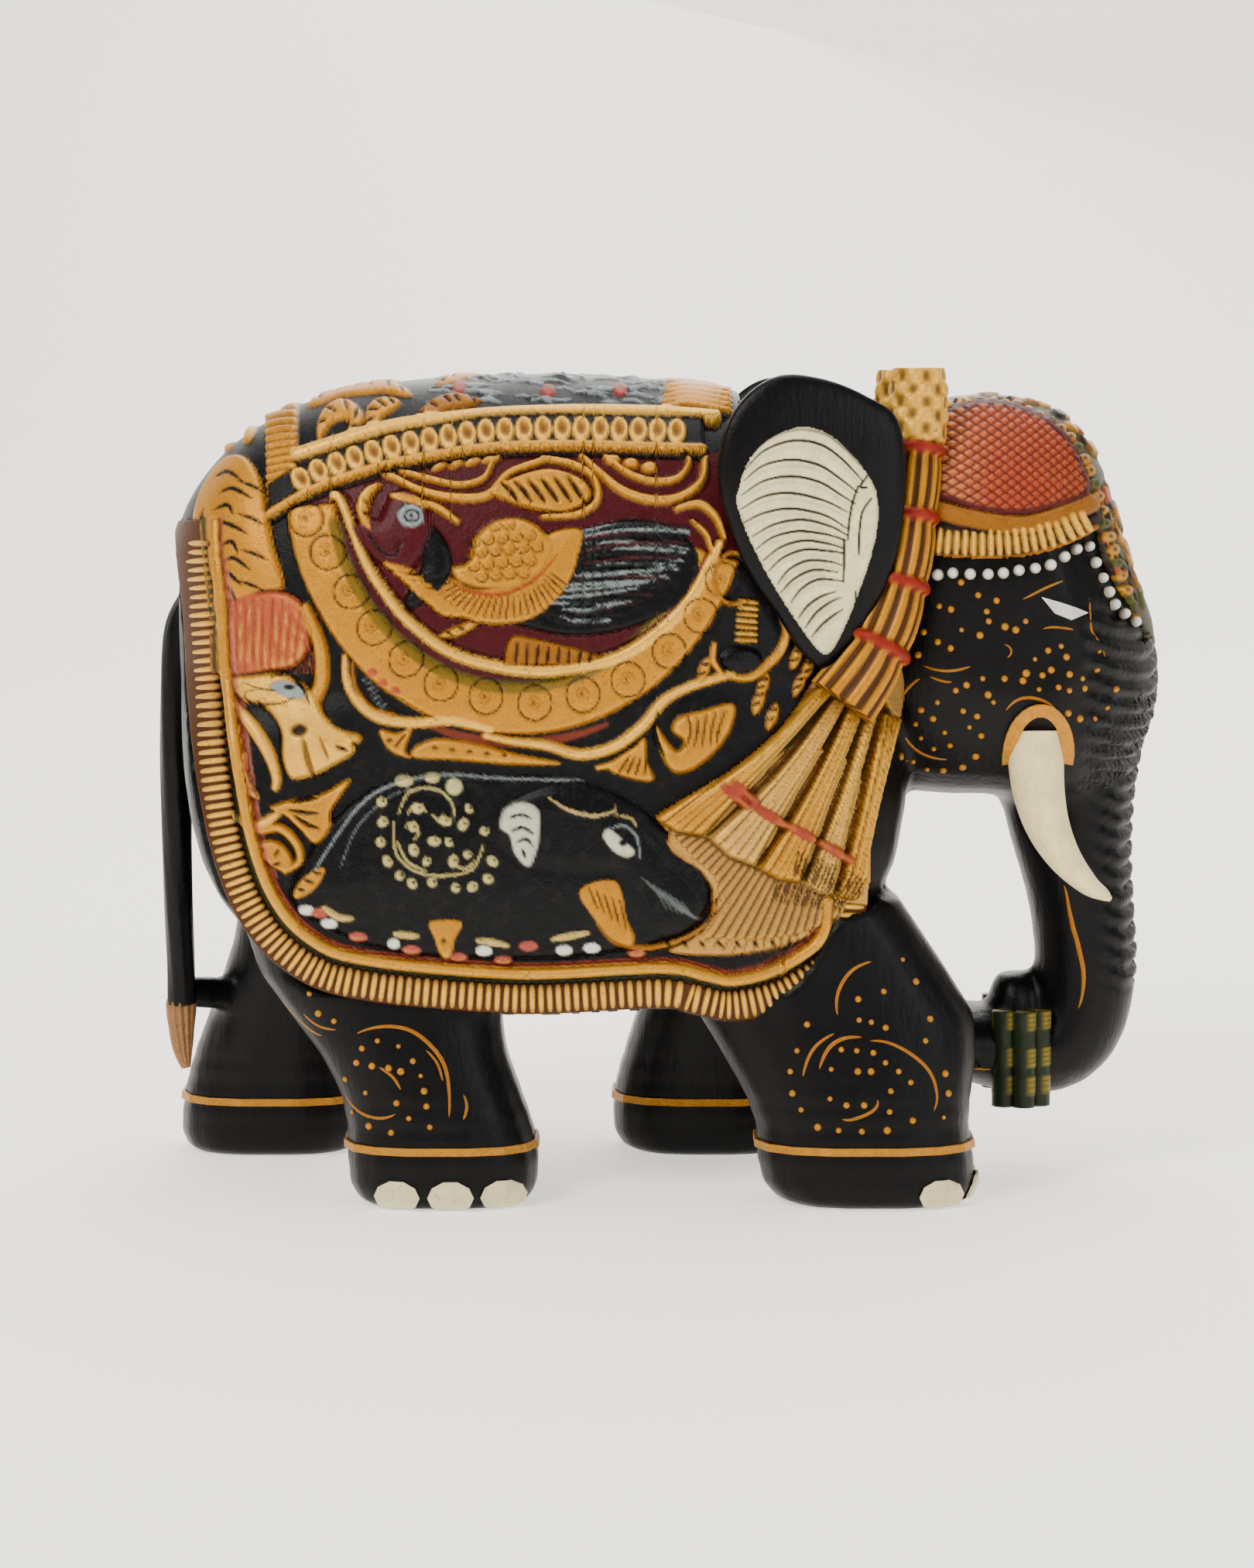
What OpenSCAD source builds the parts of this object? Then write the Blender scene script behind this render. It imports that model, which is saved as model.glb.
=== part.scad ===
// Carved wooden elephant in festival dress, standing with its trunk curled to a cane bundle.
// +X points to the trunk, +Y to the animal's left, +Z up. The soles stand on z = 0.

/* [Overall] */
// Length from the back of the tail to the front of the trunk
overall_length = 188; // [160:1:226]
// Height from the soles to the top of the tassel knobs
overall_height = 152; // [128:1:183]
// Width across the feet
overall_width = 80; // [66:1:96]

/* [Cloths] */
// Thickness of the blanket over the back and flanks
blanket_thickness = 1.2; // [0.9:0.1:1.8]
// Height of the carved figures and borders above the blanket
relief_height = 1.1; // [0.7:0.1:1.6]
// Width of the fluted fringe along the blanket's hem
fringe_width = 5.4; // [3.5:0.1:7]
// Width of the plain rail inside the fringe
rail_width = 2.6; // [1.5:0.1:4]
// Thickness of the cap and its borders on the head
cap_thickness = 1.2; // [0.8:0.1:1.6]
// Thickness of the strip down the forehead
forehead_thickness = 0.9; // [0.6:0.1:1.4]

/* [Medallion] */
// Half length of the medallion's outer edge
medallion_reach = 41.5; // [34:0.5:46]
// Drop of the medallion below its centre
medallion_drop = 43; // [36:0.5:48]
// Width of the crescent band
crescent_width = 8.6; // [6:0.1:12]

/* [Ears and tusks] */
// Thickness of an ear flap
ear_thickness = 5.6; // [4:0.1:8]
// Height of the pale lining above the flap
lining_height = 0.8; // [0.5:0.1:1.2]
// Radius of a tusk where it leaves its collar
tusk_radius = 5.1; // [4:0.1:6]
// Radius of the round peg that is glued into the head
peg_radius = 2.6; // [1.8:0.1:3.4]
// Length of the peg
peg_length = 9; // [6:0.5:12]
// Gap around the peg for glue
peg_clearance = 0.1; // [0.05:0.05:0.3]
// Width of the gilded arch around a tusk's root
collar_width = 2.4; // [1.5:0.1:3.5]
// Height of that arch above the cheek
collar_height = 1.0; // [0.6:0.1:1.6]

/* [Trimmings] */
// Radius of a tassel's bound cord
cord_radius = 5.0; // [4:0.1:6]
// Thickness of a tassel's spread strands
strand_thickness = 1.6; // [1:0.1:2.4]
// Height of an ankle band's centre above the sole
anklet_height = 11; // [9:0.5:14]
// Width of an ankle band
anklet_width = 1.4; // [1:0.1:2.4]
// Thickness of an ankle band and of the toenails
paint_thickness = 0.5; // [0.3:0.05:0.8]
// Radius of a toenail
nail_radius = 4.2; // [3:0.1:5]
// Radius of a pearl on the brow string
pearl_radius = 0.95; // [0.7:0.05:1.3]
// Radius of one cane in the bundle under the trunk
cane_radius = 2.3; // [1.6:0.1:3]

/* [Hidden] */
right = -1;
left = 1;
// The outlines below are drawn for a figure of this length, width and height.
drawn = [188, 80, 152];
sx = overall_length / drawn[0];
sy = overall_width / drawn[1];
sz = overall_height / drawn[2];
far = overall_width;
slab = 0.02;
black = [0.06, 0.06, 0.07];
gold = [0.86, 0.62, 0.22];
cream = [0.85, 0.8, 0.62];
maroon = [0.32, 0.08, 0.09];
red = [0.62, 0.2, 0.15];
green = [0.16, 0.2, 0.12];

// ---- curves ----------------------------------------------------------------------------
function scaled(points) = [for (p = points) [p[0] * sx, p[1] * sz]];
function bend(a, b, c, d, t) =
    0.5 * (2 * b + (c - a) * t + (2 * a - 5 * b + 4 * c - d) * t * t + (3 * b - a - 3 * c + d) * t * t * t);
function closed_curve(p, steps) = let(n = len(p)) [
    for (i = [0 : n - 1]) for (j = [0 : steps - 1])
        bend(p[(i + n - 1) % n], p[i], p[(i + 1) % n], p[(i + 2) % n], j / steps)
];
function open_curve(p, steps) = let(last = len(p) - 1) concat(
    [for (i = [0 : last - 1]) for (j = [0 : steps - 1])
        bend(p[max(i - 1, 0)], p[i], p[i + 1], p[min(i + 2, last)], j / steps)],
    [p[last]]
);

// ---- solids from rings of points -----------------------------------------------------------
module skin(rings) {
    n = len(rings[0]);
    last = len(rings) - 1;
    points = [for (ring = rings) for (p = ring) p];
    sides = [for (i = [0 : last - 1]) for (j = [0 : n - 1])
        [i * n + j, i * n + (j + 1) % n, (i + 1) * n + (j + 1) % n, (i + 1) * n + j]];
    start = [for (j = [n - 1 : -1 : 0]) j];
    end = [for (j = [0 : n - 1]) last * n + j];
    polyhedron(points, concat([start], sides, [end]), convexity = 6);
}
// A block with a side outline whose edges round over: power 2 is an ellipse, 10 is nearly square.
pillow_angles = [18, 36, 52, 66, 79, 90];
module pillow(outline, centre, half_width, power, grow = 0, steps = pillow_angles) {
    angles = concat(steps, [for (i = [len(steps) - 2 : -1 : 0]) 180 - steps[i]]);
    skin([for (angle = angles) [
        for (p = outline)
            let(out = norm(p - centre), e = 2 / power(p), reach = (out + grow) / out * pow(sin(angle), e),
                q = centre + (p - centre) * reach, side = angle < 90 ? 1 : -1)
            [q[0], side * (half_width(q) + grow) * pow(abs(cos(angle)), e), q[1]]
    ]]);
}
// Tube of round or oval rings along a path of [x, y, z, radius, side radius].
module limb(path, sides = 20, grow = 0) {
    last = len(path) - 1;
    skin([for (i = [0 : last])
        let(p = path[i], a = path[max(i - 1, 0)], b = path[min(i + 1, last)],
            along = [b[0] - a[0], b[1] - a[1], b[2] - a[2]], t = along / norm(along),
            u0 = cross([0, 1, 0], t), u = u0 / norm(u0), v = cross(t, u))
        [for (j = [0 : sides - 1])
            [p[0], p[1], p[2]] + u * (p[3] + grow) * cos(360 * j / sides) - v * (p[4] + grow) * sin(360 * j / sides)]
    ]);
}
// Plate across one side of the figure with a given outline.
module side_plate(outline, side) {
    rotate([90, 0, 0])
        translate([0, 0, side == right ? 0 : -far])
            linear_extrude(far) polygon(outline);
}

// ---- the carved block ------------------------------------------------------------------
torso_outline = closed_curve(scaled([
    [-89.5, 112], [-88.5, 121], [-84.5, 130], [-77, 138.3], [-66, 144], [-50, 147.9], [-30, 149.6],
    [-8, 149.2], [14, 146.5], [33, 140], [44, 126], [48, 106], [47, 84], [44, 62], [33, 46],
    [10, 39.5], [-18, 38.5], [-46, 40], [-64, 43], [-76, 50], [-83.5, 62], [-87.5, 79], [-89.3, 96]
]), 2);
torso_centre = [-26 * sx, 92 * sz];
torso_half = 36.8 * sy;
function blend(t) = let(s = min(max(t, 0), 1)) s * s * (3 - 2 * s);
function torso_power(p) = let(d = p - torso_centre, down = blend(-d[1] / norm(d) * 1.6 + 0.15)) 2.9 + 7 * down;
function torso_width(q) = torso_half * (1 - 0.16 * blend((q[0] / sx - 8) / 40));
module torso(grow = 0) {
    pillow(torso_outline, torso_centre, function(q) torso_width(q), function(p) torso_power(p), grow);
}

head_outline = closed_curve(scaled([
    [42, 141], [50, 145.2], [60, 146.8], [69, 145.8], [76, 142.5], [81, 136.5], [84.5, 127],
    [88, 116], [92, 106], [94, 97], [93, 86], [86, 74], [75, 70], [62, 72.5], [48, 73],
    [37, 80], [33, 96], [33, 120], [36, 134]
]), 2);
head_centre = [64 * sx, 106 * sz];
head_half = 26.5 * sy;
function head_power(p) = 2.7;
function head_width(q) = head_half * (1 - 0.3 * blend((q[0] / sx - 72) / 24) - 0.12 * blend((q[1] / sz - 112) / 40));
module head(grow = 0) {
    pillow(head_outline, head_centre, function(q) head_width(q), function(p) head_power(p), grow);
}

// Trunk from the brow to the curl: centre x, z, radius fore and aft, radius sideways.
trunk_stations = [
    [80, 100, 13, 14], [78.5, 88, 14, 14], [77.5, 76, 13.2, 13], [78.2, 66, 11.8, 12], [79.6, 57, 10.4, 11],
    [80.8, 48, 9.8, 10.4], [81.3, 39, 9.7, 10], [80, 30.5, 9.6, 9.8], [76.5, 25, 9.2, 10], [70, 23, 8.2, 10.5],
    [62, 24.5, 7.8, 12.6], [53, 26, 7.4, 14]
];
module trunk(grow = 0) {
    limb([for (s = open_curve(trunk_stations, 2)) [s[0] * sx, 0, s[1] * sz, s[2] * sx, s[3] * sy]], 16, grow);
}
// The rounded end of the trunk, standing up behind the cane bundle.
module trunk_knob(grow = 0) {
    knob = [[67.6, 26, 4.8], [67.6, 32.6, 4.8], [67.5, 36, 4.2], [67.3, 38.4, 2.6]];
    limb([for (k = knob) [k[0] * sx, 0, k[1] * sz, k[2] * sx, k[2] * 1.5 * sy]], 16, grow);
}

// Legs: height, back edge, front edge, then one shared table for inner and outer faces.
hind_right = [
    [0, -53.5, -25], [1.2, -55.6, -22.8], [3.8, -56.8, -21.8], [8, -57.2, -21.6], [14, -57.2, -22.8],
    [20, -58.3, -25], [27, -62, -27.6], [34, -67.5, -28.6], [42, -73.5, -26], [56, -78, -20]
];
hind_left = [
    [0, -90.5, -60], [1.2, -92.4, -58], [3.8, -93.4, -57], [8, -93.2, -56.6], [14, -92.2, -57.4],
    [20, -90.4, -58.6], [27, -87.6, -59.4], [34, -85, -58], [42, -82.3, -54.2], [56, -80, -46]
];
fore_right = [
    [0, 24, 55], [1.2, 21, 57.4], [3.8, 18.8, 58.6], [8, 17.9, 58.2], [14, 17.8, 57.2],
    [20, 15.5, 57.6], [27, 11.5, 58.6], [34, 7.2, 58.4], [42, 4, 53.4], [56, 2, 44]
];
fore_left = [
    [0, -4.5, 25], [1.2, -7, 27], [3.8, -8.6, 28.4], [8, -8.8, 28.6], [14, -8, 28],
    [20, -6.2, 28.2], [27, -4, 29.2], [34, -1, 31.6], [42, 2, 37], [56, 6, 43]
];
leg_faces = [
    [14, 37.4], [12.2, 39], [11.4, 39.5], [11.4, 39.5], [11.6, 39.1], [11.2, 38.6], [10, 37.6], [8.6, 36.6], [7, 35.8],
    [6, 35]
];
leg_sides = 16;
function leg_corner(t, e) = let(c = cos(t), s = sin(t)) [sign(c) * pow(abs(c), e), sign(s) * pow(abs(s), e)];
module leg_slab(row, faces, side, grow) {
    half = [(row[2] - row[1]) / 2 * sx + grow, (faces[1] - faces[0]) / 2 * sy + grow];
    middle = [(row[2] + row[1]) / 2 * sx, side * (faces[1] + faces[0]) / 2 * sy];
    translate([middle[0], middle[1], row[0] * sz])
        linear_extrude(slab)
            polygon([for (j = [0 : leg_sides - 1])
                let(k = leg_corner(360 * (j + 0.5) / leg_sides, 0.72)) [k[0] * half[0], k[1] * half[1]]]);
}
module leg(rows, side, grow = 0) {
    for (i = [0 : len(rows) - 2]) hull() {
        leg_slab(rows[i], leg_faces[i], side, grow);
        leg_slab(rows[i + 1], leg_faces[i + 1], side, grow);
    }
}
module legs(grow = 0) {
    leg(hind_right, right, grow);
    leg(fore_right, right, grow);
    leg(hind_left, left, grow);
    leg(fore_left, left, grow);
}
module carving(grow = 0) {
    torso(grow);
    head(grow);
    trunk(grow);
    trunk_knob(grow);
    legs(grow);
}
// Solid wood left between the neck and each ear, and a web from the tail to the left hind leg.
boss_centre = [33 * sx, 125 * sz];
boss_share = 0.66;
module ear_bosses() {
    outline = [for (p = ear_outline) boss_centre + (p - boss_centre) * boss_share];
    for (side = [right, left]) on_side(side) hull() {
        translate([0, 8 * sy, 0]) side_leaf(outline);
        translate([0, ear_seat[1] - ear_thickness * 0.22, 0]) side_leaf(outline);
    }
}
module side_leaf(outline) {
    rotate([90, 0, 0]) linear_extrude(slab) polygon(outline);
}
module tail_web() {
    web = [[-83, 13, 29.5, 3.4], [-91.2, 6, 31, 2.4]];
    hull() for (w = web) translate([w[0] * sx, w[1] * sy, w[2] * sz])
        cylinder(r1 = w[3], r2 = w[3] * 0.7, h = 5.5 * sz, $fn = 16);
}
module block() {
    carving();
    ear_bosses();
    tail_web();
}
// The part of a layer that lies between two heights above the carved block, within an outline.
module layer(low, high, outline, side) {
    difference() {
        intersection() {
            carving(high);
            side_plate(outline, side);
        }
        carving(low);
        ear_bosses();
        belly_space();
    }
}
// Nothing is dressed between the legs.
module belly_space() {
    translate([-71 * sx, -26.7 * sy, -1]) cube([120 * sx, 53.4 * sy, 48 * sz]);
    translate([20 * sx, -26.7 * sy, -1]) cube([30 * sx, 53.4 * sy, 54 * sz]);
}

// ---- tusks ---------------------------------------------------------------------------------
// Centre line of a tusk from its root to its tip, with its share of the root's radius.
tusk_line = [
    [69.4, 20.5, 84, 1], [69.3, 21.4, 80, 1], [69.9, 22.2, 74, 0.92], [71.6, 23, 68, 0.78],
    [74.6, 23.6, 62.5, 0.6], [78.6, 23.8, 58, 0.4], [83, 23.6, 55, 0.16]
];
tusk_root = [69.4 * sx, 20.5 * sy, 84 * sz];
tusk_sink = 7;
module tusk_peg(radius, length) {
    translate(tusk_root) rotate([14, -4, 0]) translate([0, 0, -tusk_sink])
        cylinder(r = radius, h = length + tusk_sink, $fn = 16);
}
module on_side(side) {
    scale([1, side, 1]) children();
}
module tusk_blade(grow = 0) {
    limb([for (s = open_curve(tusk_line, 2))
        [s[0] * sx, s[1] * sy, s[2] * sz, tusk_radius * s[3] + grow, tusk_radius * s[3] * 0.92 + grow]], 12);
}
module tusk(side) {
    color(cream) on_side(side) {
        difference() {
            tusk_blade();
            on_side(side) block();
        }
        tusk_peg(peg_radius, peg_length);
    }
}
module body() {
    color(black) difference() {
        block();
        for (side = [right, left]) on_side(side)
            tusk_peg(peg_radius + peg_clearance, peg_length + peg_clearance);
    }
}

// ---- tail ----------------------------------------------------------------------------------
// Tail: centre x, y, z, radius fore and aft, radius sideways.
tail_line = [
    [-87, 0, 112, 2.8, 3.2], [-89.8, 0, 102, 3.3, 3.8], [-90.7, 0, 86, 3.2, 3.8], [-91, 1, 68, 3, 3.6],
    [-91.1, 3, 52, 2.8, 3.4], [-91, 5, 40, 2.7, 3.2], [-91, 6, 31.5, 2.9, 3.3]
];
tail_tuft = [[-91, 6, 31.5, 2.9, 3.3], [-91.1, 6, 27, 2.8, 3.3], [-90.9, 6, 22.5, 2.4, 2.9], [-90.3, 6, 18.8, 1.2, 1.6]];
// The tail hangs on the rump and leans to the left hind leg.
module tail_limb(stations) {
    limb([for (s = open_curve(stations, 1)) [s[0] * sx, s[1] * sy, s[2] * sz, s[3] * sx, s[4] * sy]], 14);
}
module tail() {
    color(black) difference() {
        tail_limb(tail_line);
        block();
        carving_cloth();
    }
}
module tail_tip() {
    color(gold) difference() {
        tail_limb(tail_tuft);
        block();
    }
}

// ---- blanket and what is carved on it -----------------------------------------------------
// Hem of the blanket: the fringe's lower edge, then up the front edge and over the back.
hem_line = [
    [-90.5, 127], [-90, 118], [-89, 108], [-87, 96], [-85, 84], [-82.6, 72], [-79.4, 61], [-74.5, 51],
    [-67.5, 43], [-58, 38.6], [-44, 36.8], [-26, 36], [-8, 36.4], [8, 35.2], [17, 35.4], [26, 38.6],
    [33, 43.6], [37, 49], [37.4, 53.6]
];
blanket_front = [[37.4, 66], [35, 84], [27, 104], [18, 120], [14, 134], [13, 150], [13, 160]];
blanket_rear = [[-90.5, 160]];
hem = scaled(hem_line);
blanket_outline = concat(hem, scaled(blanket_front), scaled(blanket_rear));
// The hem moved inwards by a distance.
function inset(line, distance) = let(n = len(line)) [
    for (i = [0 : n - 1])
        let(a = line[max(i - 1, 0)], b = line[min(i + 1, n - 1)], t = (b - a) / norm(b - a))
        line[i] + distance * [-t[1], t[0]]
];
function reversed(line) = [for (i = [len(line) - 1 : -1 : 0]) line[i]];
function strip(line, low, high) = concat(inset(line, low), reversed(inset(line, high)));
relief_top = blanket_thickness + relief_height;

module blanket_shape() {
    for (side = [right, left]) intersection() {
        carving(blanket_thickness);
        side_plate(blanket_outline, side);
    }
}
module blanket() {
    color(maroon) difference() {
        blanket_shape();
        block();
        head(slab);
        belly_space();
    }
}
// Everything that lies on the rump under the tail.
module carving_cloth() {
    intersection() {
        carving(relief_top);
        union() {
            side_plate(blanket_outline, right);
            side_plate(blanket_outline, left);
        }
    }
}
module on_blanket(outline, side, top = relief_top) {
    layer(blanket_thickness, top, outline, side);
}
// The same, stopping at the edge of a tassel's spread strands.
module beside_tassel(side) {
    difference() {
        children();
        side_plate(scaled(fan_line), side);
    }
}
module fringe(side) {
    color(gold) beside_tassel(side) on_blanket(strip(hem, 0, fringe_width), side);
}
module hem_rail(side) {
    color(gold) beside_tassel(side)
        on_blanket(strip(hem, fringe_width + 0.6, fringe_width + 0.6 + rail_width), side);
}

// Saddle cloth over the back, edged by a band of scooped gadroons.
band_low = [[-70.5, 126], [-62, 129.4], [-50, 132.9], [-38, 135.4], [-24, 136.6], [-8, 136.6], [8, 135.6]];
band_high = [[8, 142], [-8, 143], [-24, 142.8], [-38, 141.4], [-50, 139], [-62, 135.6], [-70.5, 132.6]];
band_outline = concat(scaled(band_low), scaled(band_high));
saddle_edge = [[-70.5, 133], [-62, 136], [-50, 139.4], [-38, 141.8], [-24, 143.2], [-8, 143.4], [8, 142.4]];
saddle_outline = concat(scaled(saddle_edge), scaled([[12, 142.4], [12, 160], [-70.5, 160]]));
module saddle_cloth() {
    color(gold) for (side = [right, left]) on_blanket(saddle_outline, side, blanket_thickness + relief_height * 0.6);
}
module gadroon_band(side) {
    color(gold) on_blanket(band_outline, side);
}

// Medallion: a crescent hung below the band.
medallion_centre = [-25.5 * sx, 129.5 * sz];
function medallion_arc(shrink, from, to, steps) = [
    for (i = [0 : steps])
        let(t = from + (to - from) * i / steps)
        medallion_centre + [(medallion_reach * sx - shrink) * cos(t), (medallion_drop * sz - shrink) * sin(t)]
];
crescent_outline = concat(medallion_arc(0, 184, 343, 18), medallion_arc(crescent_width, 343, 184, 18));
module crescent(side) {
    color(gold) on_blanket(crescent_outline, side);
}
bird_line = [
    [-55, 122], [-52, 127.5], [-47, 129.5], [-42, 127], [-39, 121], [-36, 117], [-31, 123], [-24, 124.5],
    [-15, 121.5], [-4, 124], [4, 121], [7, 115], [2, 108], [-8, 104], [-20, 104.5], [-31, 107],
    [-39, 111], [-44, 115], [-50, 117]
];
module bird(side) {
    color(gold) on_blanket(scaled(bird_line), side);
}
lion_line = [
    [-83, 122], [-80, 132], [-76, 135], [-71.5, 129], [-70, 117], [-65.5, 110], [-61.5, 102], [-58.5, 93],
    [-54, 86], [-58, 81], [-66, 78.5], [-70, 84], [-75.5, 92], [-78, 101], [-81, 109]
];
// What is carved beside the border stops at its rail.
module inside_rail(side) {
    difference() {
        children();
        side_plate(strip(hem, 0, fringe_width + 0.6 + rail_width), side);
    }
}
module lion(side) {
    color(gold) inside_rail(side) on_blanket(scaled(lion_line), side);
}
small_elephant_line = [
    [-66, 57], [-62, 67], [-55, 74.5], [-46, 77.5], [-32, 78], [-18, 77.5], [-7, 75.5], [2, 71],
    [8, 63.5], [9, 56], [4, 51.5], [-4, 48.6], [-18, 48], [-36, 48], [-50, 48.5], [-60, 51]
];
module small_elephant(side) {
    color(black) beside_tassel(side) on_blanket(scaled(small_elephant_line), side);
}
corner_line = [[-1, 71], [4, 66], [9.8, 58], [9.6, 53], [5.5, 50], [12, 49], [22, 50], [30, 53.5], [29, 62], [22, 78]];
module corner_cloth(side) {
    color(gold) beside_tassel(side) inside_rail(side)
        on_blanket(scaled(corner_line), side, blanket_thickness + relief_height * 0.7);
}

// ---- ears ----------------------------------------------------------------------------------
ear_line = [
    [10.6, 130], [11, 139], [14.5, 146], [21, 150.4], [29, 150], [37, 147], [43, 142.5], [44.5, 132],
    [43, 119], [38.5, 108], [31, 98.6], [26, 100.5], [21, 108], [15, 117]
];
lining_line = [
    [14.2, 127], [15.4, 133.5], [19.5, 139.5], [26, 141.4], [33, 139], [38.4, 133.5], [39.8, 126],
    [37.6, 116], [34, 106], [30.4, 100.6], [26.2, 104], [21, 113], [16.5, 120]
];
ear_outline = closed_curve(scaled(ear_line), 2);
ear_centre = [27 * sx, 124 * sz];
lining_outline = closed_curve(scaled(lining_line), 2);
// The flap leans out towards its free rear edge.
ear_lean = -9;
ear_seat = [27 * sx, 33.6 * sy, 124 * sz];
module ear_flap(grow = 0) {
    translate(ear_seat) rotate([0, 0, ear_lean]) translate([-ear_seat[0], 0, -ear_seat[2]])
        pillow(ear_outline, ear_centre, function(q) ear_thickness / 2, function(p) 3.2, grow, [34, 58, 76, 90]);
}
module ear_outer_half() {
    translate(ear_seat) rotate([0, 0, ear_lean]) translate([-far, 0, -far]) cube(2 * far);
}
module ear(side) {
    color(black) on_side(side) difference() {
        ear_flap();
        on_side(side) block();
        on_side(side) carving_cloth();
    }
}
module ear_lining(side) {
    color(cream) on_side(side) difference() {
        intersection() {
            ear_flap(lining_height);
            side_plate(lining_outline, left);
            ear_outer_half();
        }
        ear_flap();
        on_side(side) block();
        on_side(side) carving_cloth();
    }
}
// ---- tassels -------------------------------------------------------------------------------
cord_line = [
    [47.3, 20.4, 151.9, 1], [47.3, 20.4, 146, 1], [47, 22, 138, 0.98], [46.2, 24.5, 129, 0.96],
    [45, 27, 119, 0.98], [42.6, 29.6, 109, 1.05], [38.6, 32, 100, 1.2], [33, 34, 92, 1.35]
];
fan_line = [
    [29, 97], [22, 88], [12, 79.5], [-1, 71.5], [3, 66.5], [9, 61], [20, 56.5], [31, 55.5], [36.6, 58],
    [37.6, 68], [40, 80], [43, 92], [42, 100]
];
module cord(grow = 0) {
    limb([for (s = open_curve(cord_line, 2))
        [s[0] * sx, s[1] * sy, s[2] * sz, cord_radius * s[3] + grow, cord_radius * s[3] * 0.8 + grow]], 12);
}
module tassel(side) {
    color(gold) difference() {
        union() {
            intersection() {
                carving(relief_top + strand_thickness);
                side_plate(scaled(fan_line), side);
            }
            on_side(side) cord();
        }
        carving(blanket_thickness);
        ear_bosses();
        on_side(side) ear_flap(lining_height);
    }
}

// ---- head dress ----------------------------------------------------------------------------
cap_line = [
    [48, 128], [51, 126.4], [58, 124.2], [66, 123.4], [73, 125], [78.4, 128], [78, 133], [74, 139], [68, 143],
    [58, 145], [49.5, 143]
];
cap_fringe_line = [[48.5, 120], [51, 118], [58, 117], [66, 117.4], [73, 119], [79.6, 122.4], [78.4, 128],
    [73, 125], [66, 123.4], [58, 124.2], [49, 126.6], [48.5, 127.6]];
module cap(side) {
    color(red) difference() {
        layer(0, cap_thickness, closed_curve(scaled(cap_line), 2), side);
        carving_beside_head(side);
    }
}
module cap_fringe(side) {
    color(gold) difference() {
        layer(0, cap_thickness, scaled(cap_fringe_line), side);
        carving_beside_head(side);
    }
}
// The torso's grown skin, the ear and the tassel, which the head dress stops at.
module carving_beside_head(side) {
    torso(cap_thickness + slab);
    on_side(side) ear_flap(lining_height);
    on_side(side) cord(0.2);
}
// A strip over the crown and down the forehead.
strip_half = 9;
module forehead_strip() {
    crown = 52 * sx;
    foot = 106 * sz;
    color(green) difference() {
        intersection() {
            head(forehead_thickness);
            translate([crown, -strip_half * sy, foot]) cube([far, 2 * strip_half * sy, far]);
        }
        carving();
        for (side = [right, left]) on_side(side) cord(0.2);
    }
}
// Height of a piece on the cheek: points that lie on the head's side face.
function on_face(x, z) =
    let(q = [x * sx, z * sz], rim = head_rim(q), out = norm(q - head_centre) / rim)
    [q[0], head_width(q) * pow(max(1 - pow(out, head_power(q)), 0.02), 1 / head_power(q)), q[1]];
function head_rim(q) = let(
    aim = atan2(q[1] - head_centre[1], q[0] - head_centre[0]),
    gaps = [for (p = head_outline) abs(turn(atan2(p[1] - head_centre[1], p[0] - head_centre[0]) - aim))],
    best = search(min(gaps), gaps)[0]
) norm(head_outline[best] - head_centre);
function turn(a) = a - 360 * round(a / 360);
pearl_line = [[50, 114], [58, 113.6], [65, 114.4], [72, 116.6], [77.6, 119.2], [81, 115], [83.4, 110.6], [86.4, 106]];
pearl_count = 14;
pearls = let(route = open_curve(pearl_line, 6), n = len(route) - 1)
    [for (i = [0 : pearl_count - 1]) route[round(i * n / (pearl_count - 1))]];
module brow_pearls() {
    color("white") for (side = [right, left]) on_side(side) for (p = pearls)
        difference() {
            translate(on_face(p[0], p[1])) sphere(pearl_radius, $fn = 5);
            block();
        }
}
eye_line = [[69.5, 110.6], [72, 107.6], [75, 106.4], [78.4, 107.6], [76, 108.6], [73, 109.6]];
module eye(side) {
    color(cream) layer(0, paint_thickness, scaled(eye_line), side);
}
arch_centre = [69.6 * sx, 81.5 * sz];
arch_reach = [6.6 * sx, 9.6 * sz];
function arch(grow) = [for (t = [-12 : 12 : 192]) arch_centre + [(arch_reach[0] + grow) * cos(t), (arch_reach[1] + grow) * sin(t)]];
module tusk_collar(side) {
    color(gold) difference() {
        layer(0, collar_height, concat(arch(0), reversed(arch(-collar_width))), side);
        on_side(side) tusk_blade(peg_clearance);
    }
}

// ---- ankle bands, toenails, cane bundle ---------------------------------------------------------
module anklets() {
    color(gold) difference() {
        intersection() {
            legs(paint_thickness);
            translate([-far * 2, -far, anklet_height * sz - anklet_width / 2])
                cube([far * 4, far * 2, anklet_width]);
        }
        legs();
    }
}
nail_height = 2.6;
module toe(x, side, height = nail_height) {
    translate([x * sx, side * far / 2, height * sz]) scale([1, 1, 0.74]) rotate([90, 0, 0])
        cylinder(r = nail_radius, h = far, center = true, $fn = 10);
}
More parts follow.
